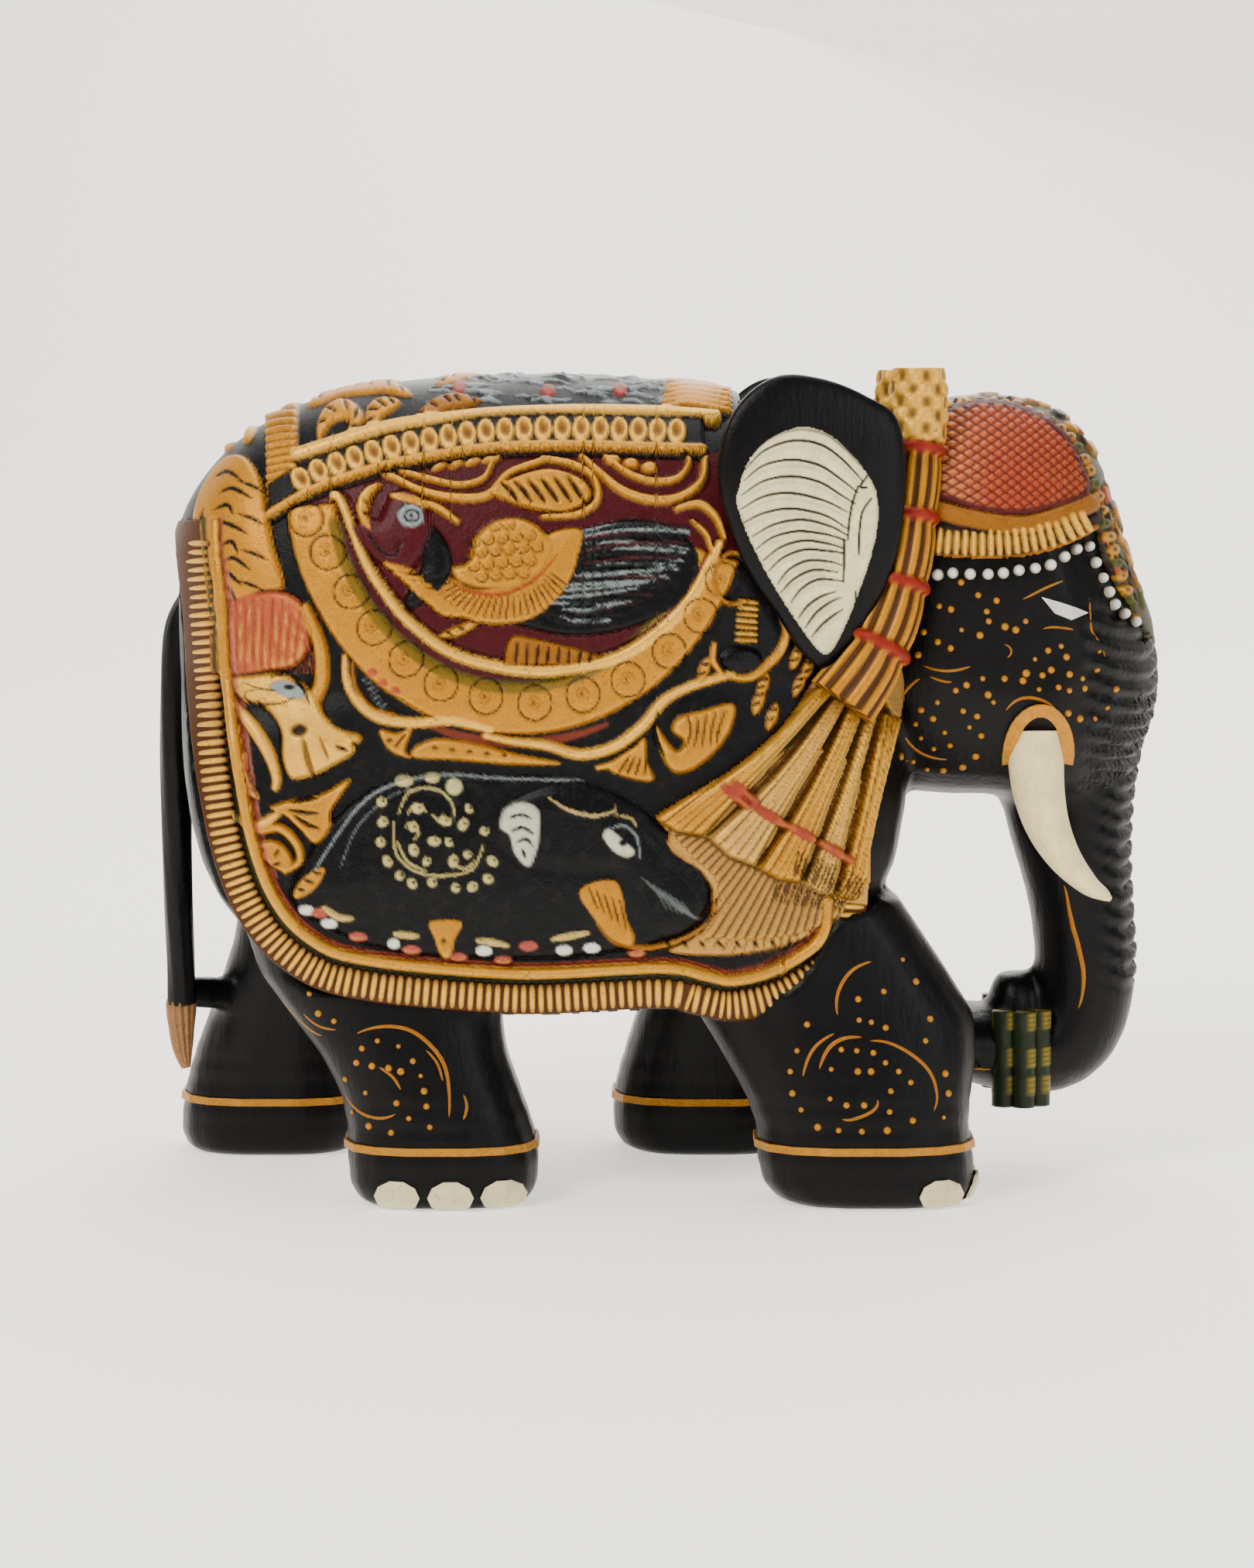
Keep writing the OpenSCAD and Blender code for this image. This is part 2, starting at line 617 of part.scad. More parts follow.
// A nail on the front of a foot, reaching forward from x.
module front_toe(x, y, height = nail_height) {
    translate([x * sx, y * sy, height * sz]) scale([1, 1, 0.74]) rotate([0, 90, 0])
        cylinder(r = nail_radius, h = 24, $fn = 10);
}
module toenails() {
    color(cream) difference() {
        intersection() {
            legs(paint_thickness);
            union() {
                difference() {
                    union() {
                        for (x = [-47.4, -37.6, -28]) toe(x, right);
                        toe(51.4, right);
                        for (x = [-83, -74.5, -66]) toe(x, left);
                        toe(21.2, left);
                    }
                    translate([-far * 2, -far * 0.3, -1]) cube([far * 4, far * 0.6, far]);
                }
                for (y = [-28.2, -18.8]) front_toe(47, y);
                for (y = [28.2, 18.8]) front_toe(17, y);
            }
            translate([-far * 2, -far, nail_height * sz - nail_radius * 0.5])
                cube([far * 4, far * 2, nail_radius * 2]);
        }
        legs();
    }
}
// Canes in each hand: place of one beside the others, along x and outwards.
cane_middle = [68.4, 10.4];
cane_row = [[0.2, 1.1], [-3.4, 0], [3.2, -1]] * (cane_radius / 2.3);
module cane_bundle() {
    color(green) difference() {
        union() {
            for (side = [right, left]) for (c = cane_row)
                translate([cane_middle[0] * sx + c[0], side * (cane_middle[1] * sy + c[1]), 14.4 * sz])
                    cylinder(r = cane_radius, h = 18 * sz, $fn = 12);
        }
        block();
    }
}

body();
tail();
tail_tip();
blanket();
fringe(right);  // fringe_right
fringe(left);  // fringe_left
hem_rail(right);  // hem_rail_right
hem_rail(left);  // hem_rail_left
saddle_cloth();
gadroon_band(right);  // gadroon_band_right
gadroon_band(left);  // gadroon_band_left
crescent(right);  // crescent_right
crescent(left);  // crescent_left
bird(right);  // bird_right
bird(left);  // bird_left
lion(right);  // lion_right
lion(left);  // lion_left
small_elephant(right);  // small_elephant_right
small_elephant(left);  // small_elephant_left
corner_cloth(right);  // corner_cloth_right
corner_cloth(left);  // corner_cloth_left
tassel(right);  // tassel_right
tassel(left);  // tassel_left
ear(right);  // ear_right
ear(left);  // ear_left
ear_lining(right);  // ear_lining_right
ear_lining(left);  // ear_lining_left
cap(right);  // cap_right
cap(left);  // cap_left
cap_fringe(right);  // cap_fringe_right
cap_fringe(left);  // cap_fringe_left
forehead_strip();
brow_pearls();
eye(right);  // eye_right
eye(left);  // eye_left
tusk_collar(right);  // tusk_collar_right
tusk_collar(left);  // tusk_collar_left
tusk(right);  // tusk_right
tusk(left);  // tusk_left
anklets();
toenails();
cane_bundle();
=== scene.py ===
import math

import bpy
import numpy as np
from mathutils import Matrix, Vector
from mathutils.bvhtree import BVHTree


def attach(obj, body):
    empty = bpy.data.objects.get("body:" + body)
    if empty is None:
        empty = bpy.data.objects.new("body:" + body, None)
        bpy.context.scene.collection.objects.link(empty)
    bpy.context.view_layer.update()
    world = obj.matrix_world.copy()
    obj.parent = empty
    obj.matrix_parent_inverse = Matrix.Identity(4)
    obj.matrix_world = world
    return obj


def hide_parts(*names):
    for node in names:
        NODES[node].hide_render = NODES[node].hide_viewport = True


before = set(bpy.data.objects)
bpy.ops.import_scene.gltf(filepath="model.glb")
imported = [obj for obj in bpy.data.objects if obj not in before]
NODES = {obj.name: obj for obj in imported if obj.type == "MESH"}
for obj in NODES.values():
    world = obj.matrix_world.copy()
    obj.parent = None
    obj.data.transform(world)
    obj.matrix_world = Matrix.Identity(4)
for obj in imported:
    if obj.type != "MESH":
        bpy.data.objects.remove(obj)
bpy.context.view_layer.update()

bl_info = {
    "name": "Carved elephant",
    "version": (1, 0, 0),
    "blender": (4, 5, 0),
    "location": "View3D > Sidebar > Elephant",
    "description": "Builds the carved and painted surfaces of a wooden elephant around its packed frame",
    "category": "Add Mesh",
}

MM = 0.001
RIGHT = -1
LEFT = 1
SIDE_NAMES = {RIGHT: "right", LEFT: "left"}
EYE_POINT = np.array([-5.706, -731.6, 144.47])
EYE_TARGET = (-5.706, 0, 74.02)
EYE_DISTANCE = 735
VIEW_HEIGHT = 296.2575

# ---- paints ------------------------------------------------------------------------------------
GOLD = (0.50, 0.205, 0.008)
PALE_GOLD = (0.80, 0.42, 0.050)
DEEP_GOLD = (0.27, 0.092, 0.004)
BROWN = (0.065, 0.020, 0.0035)
DARK_BROWN = (0.018, 0.006, 0.002)
BLACK = (0.0016, 0.0016, 0.0020)
MAROON = (0.055, 0.0035, 0.006)
RED = (0.24, 0.012, 0.005)
ROSE = (0.42, 0.070, 0.030)
MOSS = (0.070, 0.075, 0.010)
# Silver paint for eyes; on black it also stands for painted reflections and highlights.
SILVER = (0.22, 0.26, 0.25)
CREAM = (0.80, 0.72, 0.40)
WHITE = (0.74, 0.72, 0.62)
GROUND_HEIGHT = 1.0


# ---- curves and distances -------------------------------------------------------------------------
def smooth(t):
    t = np.clip(t, 0.0, 1.0)
    return t * t * (3.0 - 2.0 * t)


def bend(points, steps=6, closed=False):
    """A soft curve through a few points."""
    p = np.array(points, float)
    if len(p) < 3 and not closed:
        t = np.linspace(0, 1, steps + 1)[:, None]
        return p[0] * (1 - t) + p[-1] * t
    before = np.roll(p, 1, 0) if closed else np.vstack([p[:1], p[:-1]])
    after = np.roll(p, -1, 0) if closed else np.vstack([p[1:], p[-1:]])
    beyond = np.roll(p, -2, 0) if closed else np.vstack([p[2:], p[-1:], p[-1:]])
    count = len(p) if closed else len(p) - 1
    out = []
    for i in range(count):
        a, b, c, d = before[i], p[i], after[i], beyond[i]
        for t in np.arange(steps) / steps:
            out.append(0.5 * (2 * b + (c - a) * t + (2 * a - 5 * b + 4 * c - d) * t * t
                              + (3 * b - a - 3 * c + d) * t ** 3))
    if not closed:
        out.append(p[-1])
    return np.array(out)


def unit(vectors):
    return vectors / (np.linalg.norm(vectors, axis=-1, keepdims=True) + 1e-9)


def run_of(line):
    """Distance along a line at each of its points."""
    return np.concatenate([[0], np.cumsum(np.linalg.norm(np.diff(line, axis=0), axis=1))])


def stations(line, pitch):
    """Points at an even pitch along a line, with the direction of the line at each."""
    run = run_of(line)
    at = np.arange(0.5 * pitch, run[-1], pitch)
    before, spots, after = (np.stack([np.interp(at + step, run, line[:, k]) for k in range(2)], 1)
                            for step in (-0.3, 0, 0.3))
    return spots, unit(after - before)


def beside(ways):
    """Directions turned a quarter to the left."""
    return np.stack([-ways[:, 1], ways[:, 0]], 1)


def offset(line, distance):
    return line + distance * beside(unit(np.gradient(line, axis=0)))


def arc(cx, cz, rx, rz, start, end, steps=24):
    t = np.radians(np.linspace(start, end, steps + 1))
    return np.stack([cx + rx * np.cos(t), cz + rz * np.sin(t)], 1)


class Panel:
    """A flat board on which a relief is drawn: height, paint, gloss, and which piece each spot belongs to."""

    def __init__(self, x0, x1, z0, z1, step, paint, height, piece):
        self.x0 = x0
        self.z0 = z0
        self.step = step
        self.x, self.z = np.meshgrid(np.arange(x0, x1, step), np.arange(z0, z1, step))
        self.height = np.full(self.x.shape, float(height))
        self.paint = np.empty(self.x.shape + (3,))
        self.paint[:] = paint
        self.rough = np.full(self.x.shape, 0.42)
        self.piece = np.zeros(self.x.shape, int)
        self.names = [piece]

    def part(self, piece):
        if piece not in self.names:
            self.names.append(piece)
        return self.names.index(piece)

    def window(self, line, pad):
        low = line.min(0) - pad
        high = line.max(0) + pad
        c0 = max(int((low[0] - self.x0) / self.step), 0)
        c1 = max(int((high[0] - self.x0) / self.step) + 2, 0)
        r0 = max(int((low[1] - self.z0) / self.step), 0)
        r1 = max(int((high[1] - self.z0) / self.step) + 2, 0)
        return np.s_[r0:r1, c0:c1]

    def away(self, spot, line, closed=False):
        """Distance to a line, and how far along it the nearest point lies, from 0 to 1."""
        x = self.x[spot]
        z = self.z[spot]
        ends = np.vstack([line, line[:1]]) if closed else line
        gaps = np.linalg.norm(np.diff(ends, axis=0), axis=1)
        total = gaps.sum() + 1e-9
        best = np.full(x.shape, 1e9)
        along = np.zeros(x.shape)
        run = 0.0
        for a, b, gap in zip(ends[:-1], ends[1:], gaps):
            d = b - a
            t = np.clip(((x - a[0]) * d[0] + (z - a[1]) * d[1]) / (gap * gap + 1e-12), 0, 1)
            far = (x - a[0] - t * d[0]) ** 2 + (z - a[1] - t * d[1]) ** 2
            nearer = far < best
            best = np.where(nearer, far, best)
            along = np.where(nearer, (run + t * gap) / total, along)
            run += gap
        return np.sqrt(best), along

    def depth(self, spot, outline):
        """How deep each spot lies inside a closed outline, below zero outside it."""
        x = self.x[spot]
        z = self.z[spot]
        far = self.away(spot, outline, True)[0]
        odd = np.zeros(x.shape, bool)
        for a, b in zip(outline, np.roll(outline, -1, 0)):
            crosses = (a[1] > z) != (b[1] > z)
            with np.errstate(divide="ignore", invalid="ignore"):
                at = (b[0] - a[0]) * (z - a[1]) / (b[1] - a[1]) + a[0]
            odd ^= crosses & (x < at)
        return np.where(odd, far, -far)

    def dye(self, spot, amount, paint, rough=None):
        share = np.clip(amount, 0, 1)[..., None]
        self.paint[spot] = self.paint[spot] * (1 - share) + np.array(paint) * share
        if rough is not None:
            self.rough[spot] = self.rough[spot] * (1 - share[..., 0]) + rough * share[..., 0]

    def plate(self, outline, top, paint, edge=0.7, crown=0.0, bulge=4.0, piece=None, base=None, rough=0.4):
        """A raised patch with rounded edges."""
        outline = np.array(outline, float)
        spot = self.window(outline, 1.0)
        deep = self.depth(spot, outline)
        floor = self.height[spot] if base is None else base
        rise = smooth(deep / edge + 0.15) ** 0.6
        level = floor * (1 - rise) + top * rise + crown * smooth(deep / bulge)
        self.height[spot] = np.where(deep > -0.15 * edge, level, self.height[spot])
        self.dye(spot, smooth(deep / 0.22 + 0.5), paint, rough)
        if piece:
            self.piece[spot] = np.where(deep > 0, self.part(piece), self.piece[spot])
        return spot, deep

    def near(self, line, width, taper):
        """The spots near a line, their distance from it, and half the line's width there."""
        line = np.array(line, float)
        spot = self.window(line, width)
        far, along = self.away(spot, line)
        return spot, far, width / 2 * (1 - taper * (2 * np.abs(along - 0.5)) ** 2)

    def oval(self, x, z, rx, rz, turn):
        """The spots near an oval, and how far out each lies, where the rim is 1."""
        spot = self.window(np.array([[x, z]]), max(rx, rz) + 0.3)
        c = math.cos(math.radians(turn))
        s = math.sin(math.radians(turn))
        dx = self.x[spot] - x
        dz = self.z[spot] - z
        return spot, np.hypot((dx * c + dz * s) / rx, (dz * c - dx * s) / rz)

    def cord(self, line, width, top, paint, taper=0.0, rough=0.38):
        """A rounded raised line. Taper narrows its two ends."""
        spot, far, half = self.near(line, width, taper)
        profile = np.sqrt(np.clip(1 - (far / half) ** 2, 0, 1))
        base = self.height[spot]
        self.height[spot] = np.where(far < half, np.maximum(base, base + (top - base) * profile), base)
        self.dye(spot, smooth((half - far) / 0.2 + 0.4), paint, rough)

    def cut(self, line, width, deep, paint=None, amount=1.0, taper=0.5):
        """A knife or gouge cut along a line."""
        spot, far, half = self.near(line, width, taper)
        profile = np.clip(1 - (far / half) ** 2, 0, 1)
        self.height[spot] -= deep * profile
        if paint is not None:
            self.dye(spot, amount * smooth(profile * 1.8), paint)

    def stroke(self, line, width, paint, amount=1.0, lift=0.12, taper=0.6, rough=0.4):
        """A brush stroke, which stands a little proud."""
        spot, far, half = self.near(line, width, taper)
        profile = np.clip(1 - (far / half) ** 2, 0, 1)
        self.height[spot] += lift * np.sqrt(profile)
        self.dye(spot, amount * smooth(profile * 2.5), paint, rough)

    def blob(self, x, z, rx, rz, paint, lift=0.25, turn=0.0, rough=0.4):
        """A drop of paint."""
        spot, r = self.oval(x, z, rx, rz, turn)
        self.height[spot] += lift * np.sqrt(np.clip(1 - r * r, 0, 1))
        self.dye(spot, smooth((1 - r) * 3.5 + 0.3), paint, rough)

    def scoop(self, x, z, rx, rz, deep, paint=None, amount=0.8, turn=0.0):
        """A gouged hollow."""
        spot, r = self.oval(x, z, rx, rz, turn)
        self.height[spot] -= deep * np.clip(1 - r * r, 0, 1)
        if paint is not None:
            self.dye(spot, amount * smooth((1 - r) * 2.2), paint)

    def shade_hollows_light_ridges(self, highlight_and_wear=1.0, shade_amount=1.0):
        """Painted shade and highlight: brown is laid into the hollows, and the ridges are lightened with
        gold, partly as wear.
        """
        wide = self.height.copy()
        for _ in range(33):
            wide[1:-1] = (wide[:-2] + 2 * wide[1:-1] + wide[2:]) / 4
            wide[:, 1:-1] = (wide[:, :-2] + 2 * wide[:, 1:-1] + wide[:, 2:]) / 4
        rise = self.height - wide
        warm = smooth((self.paint[..., 0] - 0.2) / 0.2) * (self.paint[..., 2] < 0.3)
        # painted shade: brown laid into the hollows of the relief
        self.dye(np.s_[:, :], warm * shade_amount * smooth(-rise / 0.42) * 0.96, BROWN, 0.55)
        # painted highlight, partly wear: light gold laid on the ridges
        self.dye(np.s_[:, :], warm * highlight_and_wear * smooth((rise - 0.1) / 0.6) * 0.42, PALE_GOLD, 0.33)

    def sample(self, u, v):
        """Height, paint, gloss and piece at any spots."""
        rows, cols = self.x.shape
        c = np.clip((u - self.x0) / self.step, 0, cols - 1.001)
        r = np.clip((v - self.z0) / self.step, 0, rows - 1.001)
        ci = c.astype(int)
        ri = r.astype(int)
        cf = c - ci
        rf = r - ri

        def mix(grid):
            extra = (slice(None),) * cf.ndim + (None,) * (grid.ndim - 2)
            a, b = cf[extra], rf[extra]
            return ((grid[ri, ci] * (1 - a) + grid[ri, ci + 1] * a) * (1 - b)
                    + (grid[ri + 1, ci] * (1 - a) + grid[ri + 1, ci + 1] * a) * b)

        near = self.piece[np.rint(r).astype(int), np.rint(c).astype(int)]
        return mix(self.height), mix(self.paint), mix(self.rough), near


# ---- the wooden forms ------------------------------------------------------------------------------
class Pillow:
    """A block with a side outline whose edges round over towards the middle plane."""

    def __init__(self, outline, centre, half, power):
        line = bend(outline, 12, True) - centre
        turn = np.degrees(np.arctan2(line[:, 1], line[:, 0]))
        order = np.argsort(turn)
        self.turn = turn[order]
        self.reach = np.linalg.norm(line, axis=1)[order]
        self.centre = np.array(centre, float)
        self.half = half
        self.power = power

    def side(self, x, z):
        """Half width of the block at x and z."""
        dx = x - self.centre[0]
        dz = z - self.centre[1]
        rim = np.interp(np.degrees(np.arctan2(dz, dx)), self.turn, self.reach, period=360)
        far = np.hypot(dx, dz)
        power = self.power(dz / (far + 1e-9))
        share = np.clip(far / rim, 0, 1)
        return self.half(x, z) * np.clip(1 - share ** power, 0, 1) ** (1 / power)

    def top(self, x):
        """Height of the rim over x."""
        turn = np.radians(self.turn)
        rim = self.centre + np.stack([np.cos(turn), np.sin(turn)], 1) * self.reach[:, None]
        line = rim[rim[:, 1] >= self.centre[1]]
        line = line[np.argsort(line[:, 0])]
        return np.interp(x, line[:, 0], line[:, 1])


DRESS = Pillow(
    [[-89.5, 112], [-88.7, 121], [-84.7, 130], [-77, 138.3], [-66, 144], [-50, 147.9], [-30, 149.4],
     [-8, 149.2], [14, 146.5], [33, 140], [46, 126], [52, 106], [52, 84], [49, 60], [39, 40],
     [14, 29], [-18, 27.5], [-48, 29], [-66, 34], [-77.5, 44], [-84, 60], [-87.7, 79], [-89.3, 96]],
    (-26, 92),
    lambda x, z: 36.8 * (1 - 0.16 * smooth((x - 8) / 40)),
    lambda rise: 2.9 + 7 * smooth(-rise * 1.6 + 0.15))
HEAD = Pillow(
    [[42, 141], [50, 145.2], [60, 146.8], [69, 145.8], [76, 142.5], [81, 136.5], [84.5, 127],
     [88, 116], [92, 106], [94, 97], [93, 86], [86, 74], [75, 70], [62, 72.5], [48, 73],
     [37, 80], [33, 96], [33, 120], [36, 134]],
    (64, 106),
    lambda x, z: 26.5 * (1 - 0.3 * smooth((x - 72) / 24) - 0.12 * smooth((z - 112) / 40)),
    lambda rise: 2.7 + 0 * rise)


def drawing_plane(v):
    """Depth of the board that the dress is drawn on: it lies nearer the middle towards the back."""
    return -37 + 12 * smooth((v - 84) / 26)


def seen_at(points, plane=None):
    """Where points of the right side fall on the drawing board when seen from the front of that side."""
    v = points[..., 2].copy()
    u = points[..., 0].copy()
    for _ in range(4):
        depth = drawing_plane(v) if plane is None else plane
        t = (depth - EYE_POINT[1]) / (points[..., 1] - EYE_POINT[1])
        u = EYE_POINT[0] + t * (points[..., 0] - EYE_POINT[0])
        v = EYE_POINT[2] + t * (points[..., 2] - EYE_POINT[2])
    return u, v


def laid_on(form, u, v, plane=None, lift=0.0):
    """Points of the right side of a form that fall on u and v of the drawing board."""
    depth = drawing_plane(v) if plane is None else plane
    y = np.full(np.shape(u), -30.0)
    for _ in range(8):
        t = (y - EYE_POINT[1]) / (depth - EYE_POINT[1])
        x = EYE_POINT[0] + t * (u - EYE_POINT[0])
        z = EYE_POINT[2] + t * (v - EYE_POINT[2])
        y = 0.5 * y - 0.5 * (form.side(x, z) + lift)
    return np.stack([x, y, z], -1)


def hem_level(xs):
    """A little below the hem at each place along x."""
    line = laid_on(DRESS, HEM[:, 0], HEM[:, 1])
    order = np.argsort(line[:, 0])
    level = np.minimum(np.interp(xs, line[order, 0], line[order, 2]) - 3.5, DRESS.top(xs) - 10)
    padded = np.pad(level, 30, mode="edge")
    return np.convolve(padded, np.hanning(61) / np.hanning(61).sum(), mode="valid") - 1.5


def skin_grid(form, xs, low, step):
    """Right half of a form as rows from its ridge down to a level, evenly spaced over the surface."""
    top = form.top(xs)
    t = np.linspace(0, 1, 700)
    ease = 1 - np.cos(t * math.pi / 2)
    low = low + 0 * xs
    z = top[:, None] - (top - low)[:, None] * (0.35 * ease + 0.65 * ease * t)[None]
    x = np.repeat(xs[:, None], len(t), 1)
    y = form.side(x, z)
    gaps = np.hypot(np.diff(y, axis=1), np.diff(z, axis=1))
    run = np.concatenate([np.zeros((len(xs), 1)), np.cumsum(gaps, 1)], 1)
    rows = int(np.median(run[:, -1]) / step)
    share = np.linspace(0, 1, rows)
    out = np.empty((len(xs), rows, 3))
    for i in range(len(xs)):
        at = share * run[i, -1]
        out[i, :, 0] = xs[i]
        out[i, :, 1] = -np.interp(at, run[i], y[i])
        out[i, :, 2] = np.interp(at, run[i], z[i])
    return out


def plan_columns(form, level, x0, x1, step):
    """Places along x that are evenly spaced over a form's surface at one level."""
    t = np.linspace(0, 1, 3000)
    x = x0 + (x1 - x0) * t * t
    y = form.side(x, np.full(x.shape, level))
    run = np.concatenate([[0], np.cumsum(np.hypot(np.diff(x), np.diff(y)))])
    return np.interp(np.linspace(0, run[-1], int(run[-1] / step)), run, x)


def outward(grid):
    """Unit normals of a grid of points."""
    across = np.gradient(grid, axis=0)
    down = np.gradient(grid, axis=1)
    return unit(np.cross(down, across))


# ---- meshes ----------------------------------------------------------------------------------------
def new_object(name, verts, faces, paint=None, rough=None):
    """A mesh object from points in millimetres, with its paint and gloss kept on its points."""
    mesh = bpy.data.meshes.new(name)
    order = faces.tolist() if isinstance(faces, np.ndarray) else faces
    mesh.from_pydata((np.asarray(verts) * MM).tolist(), [], order)
    if paint is not None:
        layer = mesh.attributes.new("paint", "FLOAT_COLOR", "POINT")
        rgba = np.ones((len(verts), 4), np.float32)
        rgba[:, :3] = paint
        layer.data.foreach_set("color", rgba.ravel())
    if rough is not None:
        layer = mesh.attributes.new("gloss", "FLOAT", "POINT")
        layer.data.foreach_set("value", np.asarray(rough, np.float32).ravel())
    mesh.polygons.foreach_set("use_smooth", [True] * len(mesh.polygons))
    mesh.update()
    obj = bpy.data.objects.new(name, mesh)
    bpy.context.scene.collection.objects.link(obj)
    return obj


def settle(obj, slot, *nodes, material=None):
    """Gives a finished piece its paint, hangs it on its body, and hides the nodes that it stands for."""
    if material is not None:
        obj.data.materials.clear()
        obj.data.materials.append(material)
    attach(obj, "root")
    if nodes:
        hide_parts(*nodes)
    return obj


def patch(points, quads, normals, depth, paint, rough):
    """A carved skin as its own shell: used points only, with a wall turned in along its rim."""
    used, index = np.unique(quads, return_inverse=True)
    faces = index.reshape(quads.shape)
    verts = points[used]
    walls = normals[used]
    sides = np.concatenate([faces[:, [0, 1]], faces[:, [1, 2]], faces[:, [2, 3]], faces[:, [3, 0]]])
    keys = np.sort(sides, axis=1)
    _, first, count = np.unique(keys, axis=0, return_index=True, return_counts=True)
    rim = sides[first[count == 1]]
    ends, place = np.unique(rim, return_inverse=True)
    place = place.reshape(rim.shape)
    inner = verts[ends] - walls[ends] * depth
    skirt = np.stack([rim[:, 1], rim[:, 0], place[:, 0] + len(verts), place[:, 1] + len(verts)], 1)
    verts = np.vstack([verts, inner])
    shade = np.vstack([paint[used], paint[used][ends]])
    gloss = np.concatenate([rough[used], rough[used][ends]])
    return verts, np.vstack([faces, skirt]), shade, gloss


# ---- what is carved on the dress --------------------------------------------------------------------
HEM = bend([[-86.8, 124], [-86.6, 118], [-85.8, 110], [-84.6, 98], [-83.4, 88], [-82.2, 78], [-80.6, 68],
    [-78.4, 60], [-75.6, 53.6], [-71.6, 47.8], [-66, 43], [-60, 40], [-52, 38.3], [-44, 37.3], [-30, 36.2],
    [-20, 36], [0, 37], [6, 36], [12, 34.8], [18, 35.5], [24, 37.5], [30, 41], [34, 44.5], [36.6, 49.5],
    [37.3, 56]], 8)
FRINGE_WIDTH = 5.3
RAIL = offset(HEM, 7.5)
BACK_EDGE = bend([[-65, 136], [-50, 140.5], [-40, 142], [-30, 143], [-15, 143.5], [0, 143.2], [10, 142.4]],
    8)
BAND_FOOT = bend([[-70, 124.5], [-62, 129], [-50, 133], [-40, 135], [-30, 136.3], [-16, 136.7], [8, 136]],
    8)
FRONT_EDGE = [[37.4, 60], [37.6, 66], [35, 84], [30, 98], [24, 108], [19, 120], [15, 134], [14, 158]]


def leaf_shape(board, line, width, top, paint, veins=0, piece=None):
    """A pointed leaf along a line, with short gouged veins."""
    mid = bend(line, 8)
    t = np.linspace(0, 1, len(mid))
    half = width / 2 * np.sin(np.pi * np.clip(t, 0.02, 0.98)) ** 0.75
    way = unit(np.gradient(mid, axis=0))
    across = beside(way)
    outline = np.vstack([mid + across * half[:, None], (mid - across * half[:, None])[::-1]])
    board.plate(outline, top, paint, edge=0.5, crown=0.2, bulge=1.5, piece=piece)
    for k in range(veins):
        i = int((k + 1) / (veins + 1) * (len(mid) - 1))
        board.cut([mid[i] + across[i] * half[i] * 0.75, mid[i] + way[i] * 0.9 - across[i] * half[i] * 0.3],
                  0.75, 0.5, DARK_BROWN)


def carve_back(board):
    """Saddle cloth over the back: feathers with painted silver reflections, leaves and its rolled edge."""
    cloth = np.vstack([BAND_FOOT + [0, 5.4], [[14, 142], [14, 160], [-70.5, 160], [-70.5, 127]]])
    board.plate(cloth, 1.5, BLACK, edge=0.5, piece="saddle_cloth", rough=0.35)
    rng = np.random.default_rng(4)
    for k in range(90):
        x = rng.uniform(-44, 2)
        z = rng.uniform(144.6, 151)
        run = rng.uniform(3, 7)
        # painted reflections: silver strokes on the black feathers
        tone = SILVER if k % 3 else BLACK
        board.stroke([[x, z], [x + run / 2, z + rng.uniform(-0.2, 0.5)], [x + run, z - rng.uniform(0, 0.7)]],
                     rng.uniform(0.35, 0.6), tone, 0.85, lift=0.25)
    for x, z in [(-36, 147), (-20, 146.4), (-7, 146.6)]:
        board.plate(arc(x, z, 1.3, 1.2, 0, 345, 12), 1.9, RED, edge=0.4)
    leaf_shape(board, [[-63, 143.5], [-57, 146.5], [-50, 147.2], [-44.5, 145.6]], 3.2, 2.3, GOLD, 6)
    leaf_shape(board, [[-61, 137.8], [-59.5, 141.5], [-56.5, 143], [-54.3, 141.2], [-56, 138.2]], 3.4, 2.4,
        GOLD, 5)
    leaf_shape(board, [[-52, 139.5], [-50.5, 143], [-46.5, 144.4]], 3.4, 2.3, GOLD, 4)
    leaf_shape(board, [[-44, 141.4], [-38.5, 144.2], [-32, 144.6]], 2.8, 2.3, DEEP_GOLD, 5)
    leaf_shape(board, [[-40, 147.5], [-32, 150.4], [-20, 151]], 2.6, 2.1, GOLD, 8)
    for k in range(8):
        z = 143.6 + 0.85 * k
        board.cord([[0.5 + 0.2 * k, z], [5, z + 0.5 - 0.1 * k], [12.5, z - 0.7]], 0.95, 2.3, GOLD, taper=0.3)
    strip = [[-70, 126.4], [-65.4, 128.4], [-64.8, 136], [-64.6, 146], [-68, 148], [-70.3, 144]]
    board.plate(strip, 1.9, DEEP_GOLD, edge=0.5, piece="saddle_cloth")
    for k in range(15):
        z = 127.9 + 1.25 * k
        board.cord([[-70, z - 0.3], [-67.6, z + 0.3], [-65.2, z + 0.5]], 1.05, 2.5, GOLD, taper=0.25)
    board.cord(BACK_EDGE + [0, -0.6], 2.1, 2.75, PALE_GOLD, rough=0.33)
    board.cut(BACK_EDGE + [0, -2.0], 1.0, 0.5, DARK_BROWN, taper=0.0)
    for x, z in [(-57, 150), (-66, 147), (-30, 152.5), (-12, 152.8), (4, 152)]:
        leaf_shape(board, [[x, z], [x + 5, z + 0.8], [x + 10, z + 0.2]], 2.2, 2.2, GOLD, 5)


